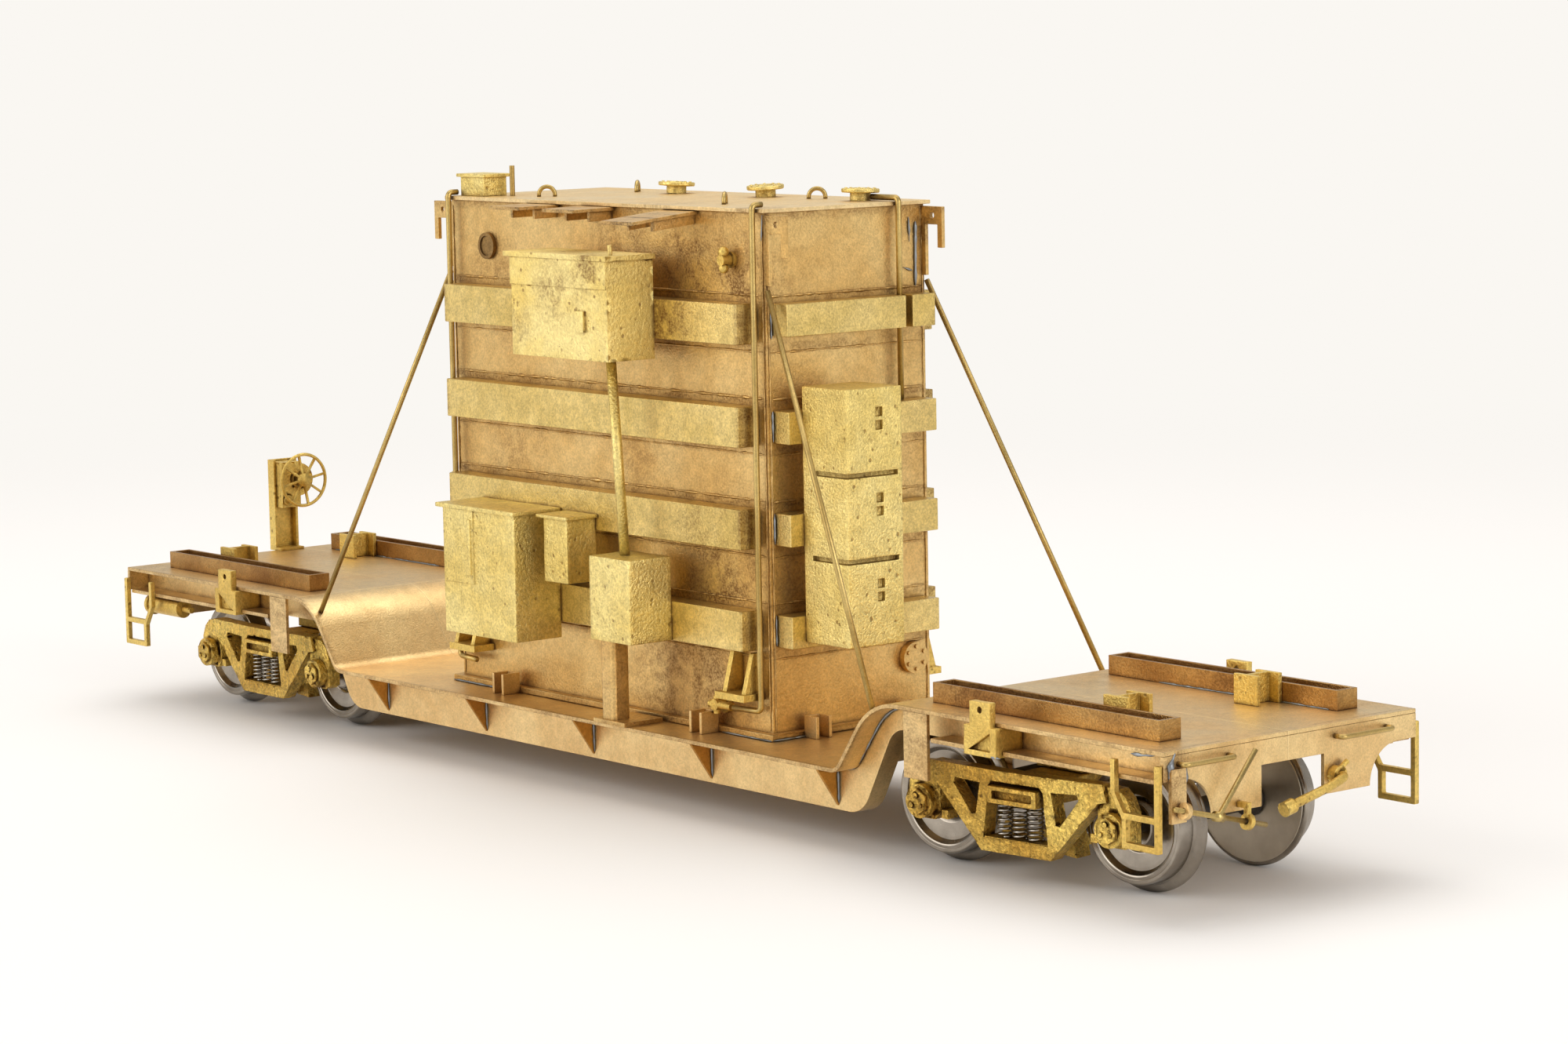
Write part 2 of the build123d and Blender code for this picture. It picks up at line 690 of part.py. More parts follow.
def wheelset():
    """Two steel wheels pressed on an axle with needle points, turning about +Y."""
    back = wheel_back
    face = rim_outer
    bore = journal_radius + 0.25
    outline = [(bore, back), (flange_radius - 0.4, back), (flange_radius, back + 0.3),
               (flange_radius, back + 0.45), (flange_radius - 0.35, back + 0.75),
               (tread_radius + 0.12, back + 1.05), (tread_radius, face - 0.25),
               (tread_radius - 0.15, face), (tread_radius - 0.85, face),
               (tread_radius - 1.1, face - 0.55), (2.5, face - 0.7), (2.25, face - 0.15),
               (bore, face - 0.15)]
    wheel = turned_about_y(outline)
    shoulder = back - 0.6
    tip = axle_tip
    axle_outline = [(0, -tip), (journal_radius, -tip + journal_radius),
                    (journal_radius, -face), (bore, -face), (bore, -shoulder),
                    (axle_radius + 0.35, -shoulder), (axle_radius, -shoulder + 0.5),
                    (axle_radius, shoulder - 0.5), (axle_radius + 0.35, shoulder),
                    (bore, shoulder), (bore, face), (journal_radius, face),
                    (journal_radius, tip - journal_radius), (0, tip)]
    axle = turned_about_y(axle_outline)
    return [wheel, other_side(wheel), axle]


# ---------------------------------------------------------------- transformer tank
def side_panel():
    return block(-tank_half_x, tank_half_x, -tank_half_y, -tank_half_y + panel, well_top, tank_top)


def end_panel():
    return block(tank_half_x - panel, tank_half_x, -tank_half_y + panel, tank_half_y - panel,
                 well_top, tank_top)


def tank_lid():
    return block(-tank_half_x - lid_overhang, tank_half_x + lid_overhang,
                 -tank_half_y - lid_overhang, tank_half_y + lid_overhang, tank_top, lid_top)


def base_strips():
    x1 = tank_half_x + base_strip_width
    side = block(-x1, x1, -tank_half_y - base_strip_width, -tank_half_y,
                 well_top, well_top + base_strip_height)
    end = block(tank_half_x, x1, -tank_half_y, tank_half_y, well_top, well_top + base_strip_height)
    return group(side, other_side(side), end, other_end(end))


def side_bands():
    bars = []
    for index in range(band_count):
        z0 = side_band_base + index * band_pitch
        bar = block(-side_band_half_x, side_band_half_x, -band_face, -tank_half_y,
                    z0, z0 + side_band_height)
        bars += [bar, other_side(bar)]
    return group(*bars)


def end_bands():
    """Bars on the end faces; the top one at +X is notched for the pipe beside it."""
    bars = []
    pipe_y = 6.2
    notch = pipe_radius + 0.12
    for index in range(band_count):
        z0 = end_band_base + index * band_pitch
        if index == band_count - 1:
            z0 = side_band_base + index * band_pitch + side_band_height - end_band_height
        bar = block(tank_half_x, end_band_face, -end_band_half_y, end_band_half_y,
                    z0, z0 + end_band_height)
        bars.append(other_end(bar))
        if index == band_count - 1:
            bar -= block(tank_half_x - 1, end_band_face + 1, pipe_y - notch, pipe_y + notch,
                         z0 - 1, z0 + end_band_height + 1)
        bars.append(bar)
    return group(*bars)


def end_cabinet():
    """Three-section cabinet on the bands of the +X face, its sections parted by slots."""
    x0 = end_band_face
    x1 = end_band_face + cabinet_depth
    case = block(x0, x1, cabinet_y0, cabinet_y1, cabinet_z0, cabinet_z1)
    section = (cabinet_z1 - cabinet_z0) / 3
    for index in range(3):
        top = cabinet_z0 + section * (index + 1)
        if index < 2:
            case -= block(x1 - 0.7, x1 + 1, cabinet_y0 - 1, cabinet_y1 - 0.5,
                          top - cabinet_slot / 2, top + cabinet_slot / 2)
            case -= block(x0 + 1.2, x1 + 1, cabinet_y0 - 1, cabinet_y0 + 0.6,
                          top - cabinet_slot / 2, top + cabinet_slot / 2)
        for drop in (1.9, 3.2):
            case -= block(x1 - 0.5, x1 + 1, cabinet_y0 + 3.7, cabinet_y0 + 4.6,
                          top - drop - 0.9, top - drop)
    return case


def wall_box(sizes):
    """Plain box on the fronts of the side bands, from its x, depth and z sizes."""
    x0, x1, depth, z0, z1 = sizes
    return block(x0, x1, -band_face - depth, -band_face, z0, z1)


def box_with_cover(sizes, cover):
    x0, x1, depth, z0, z1 = sizes
    front = -band_face - depth
    box = wall_box(sizes)
    lid = block(x0 - cover_lip * 2, x1 + cover_lip, front - cover_lip, -band_face, z1 - cover, z1)
    return box + lid


def control_box_solid():
    box = box_with_cover(control_box, 0.5)
    x0, x1, depth, z0, z1 = control_box
    front = -band_face - depth
    box += block(x0, x1, front - 0.18, front, z1 - 3.3, z1 - 0.5)
    box += block(x1 - 5.2, x1 - 3.6, front - 0.35, front, z0 + 2.8, z0 + 4.9)
    box += rod((x1 - 1.2, front + 1.4, z1), (x1 - 1.2, front + 1.4, z1 + 1.0), wire_radius)
    return box


def relay_cabinet_solid():
    box = box_with_cover(relay_cabinet, 0.45)
    x0, x1, depth, z0, z1 = relay_cabinet
    front = -band_face - depth
    box += block(x0 + 0.3, x0 + 5.6, front - 0.2, front, z0 + 5.4, z1 - 0.45)
    box += block(x0 + 4.9, x0 + 5.4, front - 0.45, front, z0 + 6.4, z1 - 1.4)
    return box


def conduit():
    top = (8.0, -band_face - 2.7, control_box[3])
    bottom = (9.6, -band_face - 2.7, junction_box[4])
    tilt = Vector(*top) - Vector(*bottom)
    lift = tilt.normalized() * 0.05
    return rod(Vector(*bottom) + lift, Vector(*top) - lift, conduit_radius)


def support_column():
    """Square post with rounded edges on a base plate at the edge of the well deck."""
    half = column_side / 2
    foot_top = well_top + 0.45
    post = block(column_x - half, column_x + half, column_y - half, column_y + half,
                 foot_top, junction_box[3])
    post = fillet(post.edges().filter_by(Axis.Z), 0.5)
    foot = block(column_x - 2.0, column_x + 3.2, column_y - half - 0.3, -11.5, well_top, foot_top)
    return post + foot


def jack_pad():
    """Gusseted lifting pad low on the -Y face, at the +X corner; the other three are its mirrors."""
    x0 = 20.6
    x1 = 25.2
    y0 = -tank_half_y - pad_reach
    pad = block(x0, x1, y0, -tank_half_y, pad_plate_z, pad_plate_z + 0.7)
    for gusset_x in (x0 + 1.0, x1 - 0.6):
        outline = [(-tank_half_y, pad_plate_z), (y0 + 0.3, pad_plate_z),
                   (y0 + 1.6, pad_plate_z + 4.7), (-tank_half_y, pad_plate_z + 4.7)]
        pad += plate_across_x(outline, gusset_x - 0.3, gusset_x + 0.3)
    return pad


def tank_valves():
    """Oil valve high on the -Y face and drain valve below the corner pad."""
    face = -tank_half_y
    upper = disc_across_y(21.4, valve_z, 0.55, face - 1.5, face)
    upper += Pos(21.4, face - 1.1, valve_z + 0.8) * Sphere(0.55)
    upper += Pos(21.4, face - 1.1, valve_z - 0.8) * Sphere(0.5)
    upper += disc_across_y(21.4, valve_z, 0.8, face - 0.35, face)
    drain = disc_across_y(19.2, 11.2, 0.6, face - 1.7, face)
    drain += disc_across_y(19.2, 11.2, 0.95, face - 0.4, face)
    drain += rod((18.2, face - 1.3, 11.2), (21.6, face - 1.3, 11.2), 0.4)
    drain += rod((19.2, face - 1.3, 10.3), (19.2, face - 1.3, 12.1), 0.35)
    return group(upper, drain)


def dial_gauge():
    face = -tank_half_y
    dial = disc_across_y(-19.7, valve_z, 1.4, face - 0.45, face)
    return dial - disc_across_y(-19.7, valve_z, 1.05, face - 0.6, face - 0.3)


def access_cover():
    cover = disc_across_x(7.8, 14.6, 1.6, tank_half_x, tank_half_x + 0.8)
    for index in range(6):
        angle = radians(60 * index + 30)
        cover += disc_across_x(7.8 + 1.15 * cos(angle), 14.6 + 1.15 * sin(angle), 0.2,
                               tank_half_x + 0.8, tank_half_x + 1.0)
    return cover


def corner_pipe():
    """Pipe from the lid over its edge, down the -Y face near the +X corner, to the drain."""
    clear = tank_half_y + lid_overhang + pipe_radius + pipe_standoff
    over = lid_top + pipe_radius + pipe_standoff
    bottom = 11.2
    points = [(25.7, -clear + 1.2, over), (25.7, -clear, over), (25.7, -clear, bottom),
              (22.0, -clear - 0.5, bottom)]
    return bent_wire(points, pipe_bend, pipe_radius)


def end_pipe():
    """Pipe from the last bushing over the +X edge of the lid, down past the top band."""
    clear = tank_half_x + lid_overhang + pipe_radius + pipe_standoff
    over = lid_top + pipe_radius + pipe_standoff
    end_z = end_band_base + 2 * band_pitch + end_band_height + 0.05
    points = [(bushing_stations[2] + 1.3, 6.2, over), (clear, 6.2, over), (clear, 6.2, end_z)]
    return bent_wire(points, pipe_bend, pipe_radius)


def bushing(station):
    """Bolted round flange on a short neck."""
    neck = Pos(station, bushing_y, lid_top + 0.45) * Cylinder(1.05, 0.9)
    disc = Pos(station, bushing_y, lid_top + 1.12) * Cylinder(1.95, 0.45)
    piece = neck + disc
    for index in range(8):
        angle = radians(45 * index)
        spot = Pos(station + 1.55 * cos(angle), bushing_y + 1.55 * sin(angle), lid_top + 1.45)
        piece += spot * Cylinder(0.2, 0.3)
    return piece


def lifting_loop():
    """Half ring of wire on the lid, its plane turned toward the lid's centre."""
    ring = Torus(0.85, 0.22)
    ring = Rot(90, 0, 0) * ring
    ring -= block(-2, 2, -2, 2, -2, 0)
    feet = Pos(0.85, 0, -0.1) * Cylinder(0.22, 0.2)
    feet += Pos(-0.85, 0, -0.1) * Cylinder(0.22, 0.2)
    return Pos(-loop_x, -loop_y, lid_top + 0.2) * (Rot(0, 0, 45) * (ring + feet))


def lid_box():
    box = block(-25.6, -21.4, -9.6, -6.6, lid_top, lid_top + 2.0)
    return box + block(-26.0, -21.0, -9.9, -6.3, lid_top + 2.0, lid_top + 2.35)


def lid_post():
    return rod((-19.8, -7.0, lid_top), (-19.8, -7.0, lid_top + 3.2), 0.27)


def lid_hoods():
    """Flat hoods under the lid on the -Y face, each on the two cheeks of an open channel."""
    face = -tank_half_y
    root = tank_top - 0.02
    hoods = []
    for x0, x1, reach, overhang, drop in hood_sizes:
        tip_y = face - reach - overhang
        tip = root - drop
        hood = plate_across_x([(face, root), (tip_y, tip), (tip_y, tip - hood_sheet),
                               (face, root - hood_sheet)], x0 - 0.5, x1 + 0.5)
        cheek_y = face - reach
        top = root - drop * reach / (reach + overhang) - hood_sheet
        for cheek in (x0, x1 - hood_sheet):
            outline = [(face, root - hood_sheet), (cheek_y, top), (cheek_y, top - hood_cheek),
                       (face, root - hood_sheet - hood_cheek)]
            hood += plate_across_x(outline, cheek, cheek + hood_sheet)
        hoods.append(hood)
    return group(*hoods)


def lifting_lug():
    """Hooked plate at the top of the +X, -Y corner, with a hole."""
    x0 = tank_half_x
    x1 = tank_half_x + lug_reach
    top = tank_top - 0.2
    outline = [(x0, top), (x1, top), (x1, top - 4.1), (x1 - 0.7, top - 4.1), (x1 - 0.7, top - 1.8),
               (x0 + 0.7, top - 1.8), (x0 + 0.7, top - 6.9), (x0, top - 6.9)]
    plate = plate_across_y(outline, -tank_half_y, -tank_half_y + sheet)
    return plate - disc_across_y(x0 + 1.7, top - 0.9, 0.3, -tank_half_y - 1, -tank_half_y + 1)


def tie_rod():
    """Straight rod from the tank's +X, -Y corner down to the gooseneck."""
    offset = rod_foot_x - platform_start
    height = deck_top - deck_upper_radius + sqrt(deck_upper_radius ** 2 - offset ** 2)
    head = Vector(rod_head[0], -rod_head[1], rod_head[2])
    foot = Vector(rod_foot_x, -rod_foot_y, height)
    lift = (head - foot).normalized() * rod_foot_gap
    return rod(foot + lift, head, rod_radius)


def deck_cleats():
    """Short angle cleats on the well deck against the base strip."""
    edge_y = -tank_half_y - base_strip_width
    edge_x = tank_half_x + base_strip_width
    height = well_top + 2.2
    pieces = []
    for station in (-16.0, 17.8):
        cleat = block(station - 1.0, station + 1.0, edge_y - 0.35, edge_y, well_top, height)
        cleat += block(station + 0.65, station + 1.0, edge_y - 2.2, edge_y, well_top, height)
        cleat += block(station - 1.0, station - 0.65, edge_y - 2.2, edge_y, well_top, height)
        pieces += [cleat, other_side(cleat)]
    for side in (-6.0, 6.0):
        cleat = block(edge_x, edge_x + 0.35, side - 1.0, side + 1.0, well_top, height)
        cleat += block(edge_x, edge_x + 1.9, side - 1.0, side - 0.65, well_top, height)
        cleat += block(edge_x, edge_x + 1.9, side + 0.65, side + 1.0, well_top, height)
        pieces += [cleat, other_end(cleat)]
    return group(*pieces)


# ---------------------------------------------------------------- every node
def build_nodes():
    nodes = {}
    sill = side_sill()
    nodes["deck_plate"] = deck_plate()
    nodes["right_side_sill"] = sill
    nodes["left_side_sill"] = other_side(sill)
    nodes["sill_gussets"] = sill_gussets()
    end = end_sill()
    nodes["end_sill_a"] = end
    nodes["end_sill_b"] = turned_end(end)
    nodes["drop_plates"] = four_corners(drop_plate())
    nodes["jacking_brackets"] = four_corners(jacking_bracket())
    nodes["load_trays"] = four_corners(load_tray())
    nodes["stake_pockets"] = four_corners(stake_pocket())
    nodes["stirrup_steps"] = four_corners(stirrup_step())
    rails = grab_irons()
    nodes["end_grab_irons"] = group(*rails, *[turned_end(rail) for rail in rails])
    hanger = lever_hanger()
    nodes["lever_hangers"] = group(hanger, turned_end(hanger))
    eyebolt = lever_eyebolt()
    nodes["lever_eyebolts"] = group(eyebolt, turned_end(eyebolt))
    lever = uncoupling_lever()
    nodes["uncoupling_lever_a"] = lever
    nodes["uncoupling_lever_b"] = turned_end(lever)
    hose = air_hose()
    nodes["air_hoses"] = group(hose, turned_end(hose))
    bolster = body_bolster()
    nodes["body_bolsters"] = group(bolster, turned_end(bolster))
    screw = kingpin_screw()
    nodes["kingpin_screws"] = group(screw, turned_end(screw))
    nodes["brake_post"] = brake_post()
    nodes["brake_gear_box"] = brake_gear_box()
    nodes["brake_wheel"] = brake_wheel()
    nodes["brake_cylinder"] = brake_cylinder()

    panel_front = side_panel()
    nodes["tank_front_panel"] = panel_front
    nodes["tank_back_panel"] = other_side(panel_front)
    panel_end = end_panel()
    nodes["tank_end_panels"] = group(panel_end, other_end(panel_end))
    nodes["tank_lid"] = tank_lid()
    nodes["tank_base_strips"] = base_strips()
    nodes["side_bands"] = side_bands()
    nodes["end_bands"] = end_bands()
    nodes["end_cabinet"] = end_cabinet()
    nodes["control_box"] = control_box_solid()
    nodes["relay_cabinet"] = relay_cabinet_solid()
    nodes["terminal_box"] = box_with_cover(terminal_box, 0.35)
    nodes["junction_box"] = wall_box(junction_box)
    nodes["conduit"] = conduit()
    nodes["support_column"] = support_column()
    nodes["jack_pads"] = four_corners(jack_pad())
    nodes["tank_valves"] = tank_valves()
    nodes["dial_gauge"] = dial_gauge()
    nodes["access_cover"] = access_cover()
    pipe = corner_pipe()
    nodes["tank_pipes"] = group(pipe, other_end(pipe), end_pipe())
    nodes["lid_bushings"] = group(*[bushing(station) for station in bushing_stations])
    nodes["lifting_loops"] = four_corners(lifting_loop())
    nodes["lid_box"] = lid_box()
    nodes["lid_post"] = lid_post()
    nodes["lid_hoods"] = lid_hoods()
    nodes["lifting_lugs"] = four_corners(lifting_lug())
    nodes["tie_rods"] = four_corners(tie_rod())
    nodes["deck_cleats"] = deck_cleats()

    for letter, station, turn in (("a", truck_station, truck_a_turn), ("b", -truck_station, 180)):
        place = Pos(station, 0, 0) * Rot(0, 0, turn)
        nodes[f"truck_{letter}_bolster"] = place * truck_bolster()
        nodes[f"truck_{letter}_side_frames"] = group(*[place * piece for piece in truck_frames()])
        nodes[f"truck_{letter}_springs"] = group(*[place * piece for piece in truck_springs()])
        for number, offset in ((1, 1), (2, -1)):
            axle = place * Pos(offset * wheelbase / 2, 0, axle_height)
            nodes[f"wheelset_{letter}{number}"] = group(*[axle * piece for piece in wheelset()])
    return nodes


os.makedirs("parts", exist_ok=True)
for name, shape in build_nodes().items():
    export_step(shape, f"parts/{name}.step")
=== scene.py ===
import json
import math
import bpy
import bmesh
from mathutils import Matrix, Vector, noise
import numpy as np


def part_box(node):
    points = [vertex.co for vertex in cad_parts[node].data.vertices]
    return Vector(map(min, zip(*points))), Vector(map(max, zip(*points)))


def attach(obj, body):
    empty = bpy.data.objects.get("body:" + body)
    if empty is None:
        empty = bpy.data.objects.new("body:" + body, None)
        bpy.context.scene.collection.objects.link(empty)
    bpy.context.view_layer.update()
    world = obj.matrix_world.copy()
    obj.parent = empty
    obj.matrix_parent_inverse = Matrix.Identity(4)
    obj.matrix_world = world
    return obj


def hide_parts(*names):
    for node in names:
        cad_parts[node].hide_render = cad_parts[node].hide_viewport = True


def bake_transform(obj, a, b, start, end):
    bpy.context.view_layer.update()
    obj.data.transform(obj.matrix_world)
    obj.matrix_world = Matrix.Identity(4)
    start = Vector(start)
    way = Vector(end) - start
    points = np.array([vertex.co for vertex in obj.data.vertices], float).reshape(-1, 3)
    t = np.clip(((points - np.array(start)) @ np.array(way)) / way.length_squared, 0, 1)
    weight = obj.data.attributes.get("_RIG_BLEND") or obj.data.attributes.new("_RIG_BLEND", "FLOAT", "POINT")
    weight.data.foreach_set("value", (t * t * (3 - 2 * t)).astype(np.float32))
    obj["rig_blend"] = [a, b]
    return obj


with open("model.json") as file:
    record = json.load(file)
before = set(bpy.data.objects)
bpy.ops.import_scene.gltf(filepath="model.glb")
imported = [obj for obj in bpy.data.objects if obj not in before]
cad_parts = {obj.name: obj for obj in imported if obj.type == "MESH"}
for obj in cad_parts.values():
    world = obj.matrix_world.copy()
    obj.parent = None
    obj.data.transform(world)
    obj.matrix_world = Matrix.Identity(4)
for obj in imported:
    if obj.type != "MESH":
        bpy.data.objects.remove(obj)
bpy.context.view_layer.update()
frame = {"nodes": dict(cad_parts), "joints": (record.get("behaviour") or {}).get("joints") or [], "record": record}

MM = 0.001
TANK_X = 26.45               # half sizes of the tank, in millimetres like all that follow
TANK_Y = 10.3
TANK_FOOT = 9.2              # where the tank's seams start, over its base strips
SEAM_TOP = 59.6
BAND_FEET = [17.15 + 10.08 * step for step in range(4)]
BAND_FACE = 12.7             # centreline to the face of a side band
BAND_END = 24.8              # middle of the car to the end of a side band
BOX_FACE = 18.5              # centreline to the face of the control box
GUSSET_STATIONS = (-36.5, -18.0, 1.0, 20.5, 40.0)
PLATFORM = 15.6              # top of the platforms
PLATFORM_START = 51.4
DECK_UNDER = 15.15
GOOSENECK_BEND = 6.5
GOOSENECK_LEAN = 55
TRUCK_A_TURN = 6.9           # degrees
SPRING_PITCH = 1.85
SPRING_ROW = 12.2
COIL_RADIUS = 0.66
COIL_WIRE = 0.11
COIL_TURNS = 7.5
COIL_STEPS = 150
NODES = frame["nodes"]
BODY = {node: body for body, names in frame["record"]["behaviour"]["bodies"].items() for node in names}


# ------------------------------------------------------------------ camera
def make_camera():
    azimuth, elevation, roll = math.radians(50.730), math.radians(7.0895), math.radians(-1.0339)
    back = Vector((math.sin(azimuth) * math.cos(elevation), -math.cos(azimuth) * math.cos(elevation),
                   math.sin(elevation)))
    right = (-back).cross(Vector((0, 0, 1))).normalized()
    up = right.cross(-back)
    r = math.cos(roll) * right + math.sin(roll) * up
    u = -math.sin(roll) * right + math.cos(roll) * up
    data = bpy.data.cameras.new("camera")
    data.sensor_width = 36
    data.lens = 96.489
    data.clip_start = 0.01
    data.clip_end = 60
    camera = bpy.data.objects.new("camera", data)
    bpy.context.scene.collection.objects.link(camera)
    turn = Matrix((r, u, back)).transposed().to_4x4()
    camera.matrix_world = Matrix.Translation(Vector((343.63, -267.80, 80.78)) * MM) @ turn
    bpy.context.scene.camera = camera


make_camera()


# ------------------------------------------------------------------ materials
def srgb(r, g, b):
    def linear(c):
        c /= 255
        return c / 12.92 if c <= 0.04045 else ((c + 0.055) / 1.055) ** 2.4
    return (linear(r), linear(g), linear(b), 1)


class Graph:
    """A short way to write a node material. Coordinates are the row frame in millimetres."""

    def __init__(self, name):
        self.material = bpy.data.materials.new(name)
        self.material.use_nodes = True
        self.tree = self.material.node_tree
        self.tree.nodes.clear()
        self.shader = self.node("ShaderNodeBsdfPrincipled")
        out = self.node("ShaderNodeOutputMaterial")
        self.link(self.shader.outputs["BSDF"], out.inputs["Surface"])
        place = self.node("ShaderNodeTexCoord")
        self.mm = self.node("ShaderNodeVectorMath", operation="SCALE")
        self.link(place.outputs["Object"], self.mm.inputs[0])
        self.mm.inputs["Scale"].default_value = 1000
        self.mm = self.mm.outputs["Vector"]

    def node(self, kind, **settings):
        made = self.tree.nodes.new(kind)
        for key, value in settings.items():
            setattr(made, key, value)
        return made

    def link(self, a, b):
        self.tree.links.new(a, b)

    def put(self, value, socket):
        if isinstance(value, (int, float)):
            socket.default_value = value
        elif isinstance(value, tuple):
            socket.default_value = value
        else:
            self.link(value, socket)

    def math(self, operation, a, b=0.0, c=None, clamp=False):
        made = self.node("ShaderNodeMath", operation=operation, use_clamp=clamp)
        self.put(a, made.inputs[0])
        self.put(b, made.inputs[1])
        if c is not None:
            self.put(c, made.inputs[2])
        return made.outputs[0]

    def noise(self, scale, detail=2.0, rough=0.5, distortion=0.0, stretch=None, seed=0.0):
        made = self.node("ShaderNodeTexNoise", noise_dimensions="4D")
        made.inputs["Scale"].default_value = scale
        made.inputs["Detail"].default_value = detail
        made.inputs["Roughness"].default_value = rough
        made.inputs["Distortion"].default_value = distortion
        made.inputs["W"].default_value = seed
        source = self.mm
        if stretch:
            scaled = self.node("ShaderNodeVectorMath", operation="MULTIPLY")
            self.link(self.mm, scaled.inputs[0])
            scaled.inputs[1].default_value = stretch
            source = scaled.outputs["Vector"]
        self.link(source, made.inputs["Vector"])
        return made.outputs["Fac"]

    def cells(self, scale, feature="F1", output="Distance"):
        made = self.node("ShaderNodeTexVoronoi", feature=feature)
        made.inputs["Scale"].default_value = scale
        self.link(self.mm, made.inputs["Vector"])
        return made.outputs[output]

    def ramp(self, value, low, high, a=0.0, b=1.0, smooth=True):
        made = self.node("ShaderNodeMapRange", interpolation_type="SMOOTHSTEP" if smooth else "LINEAR")
        self.put(value, made.inputs["Value"])
        made.inputs["From Min"].default_value = low
        made.inputs["From Max"].default_value = high
        made.inputs["To Min"].default_value = a
        made.inputs["To Max"].default_value = b
        return made.outputs["Result"]

    def mix(self, factor, a, b, blend="MIX"):
        made = self.node("ShaderNodeMix", data_type="RGBA", blend_type=blend)
        self.put(factor, made.inputs["Factor"])
        self.put(a, made.inputs["A"])
        self.put(b, made.inputs["B"])
        return made.outputs["Result"]

    def near(self, point, radius, stretch=(1, 1, 1)):
        """1 at a point, 0 at the radius round it, with a smooth edge."""
        moved = self.node("ShaderNodeVectorMath", operation="SUBTRACT")
        self.link(self.mm, moved.inputs[0])
        moved.inputs[1].default_value = point
        scaled = self.node("ShaderNodeVectorMath", operation="MULTIPLY")
        self.link(moved.outputs["Vector"], scaled.inputs[0])
        scaled.inputs[1].default_value = stretch
        length = self.node("ShaderNodeVectorMath", operation="LENGTH")
        self.link(scaled.outputs["Vector"], length.inputs[0])
        return self.ramp(length.outputs["Value"], radius, radius * 0.15)

    def crevice(self, reach):
        made = self.node("ShaderNodeAmbientOcclusion", samples=6)
        made.inputs["Distance"].default_value = reach * MM
        return self.math("SUBTRACT", 1.0, made.outputs["AO"])

    def bump(self, height, depth, strength=1.0):
        made = self.node("ShaderNodeBump")
        made.inputs["Strength"].default_value = strength
        made.inputs["Distance"].default_value = depth * MM
        self.link(height, made.inputs["Height"])
        return made.outputs["Normal"]


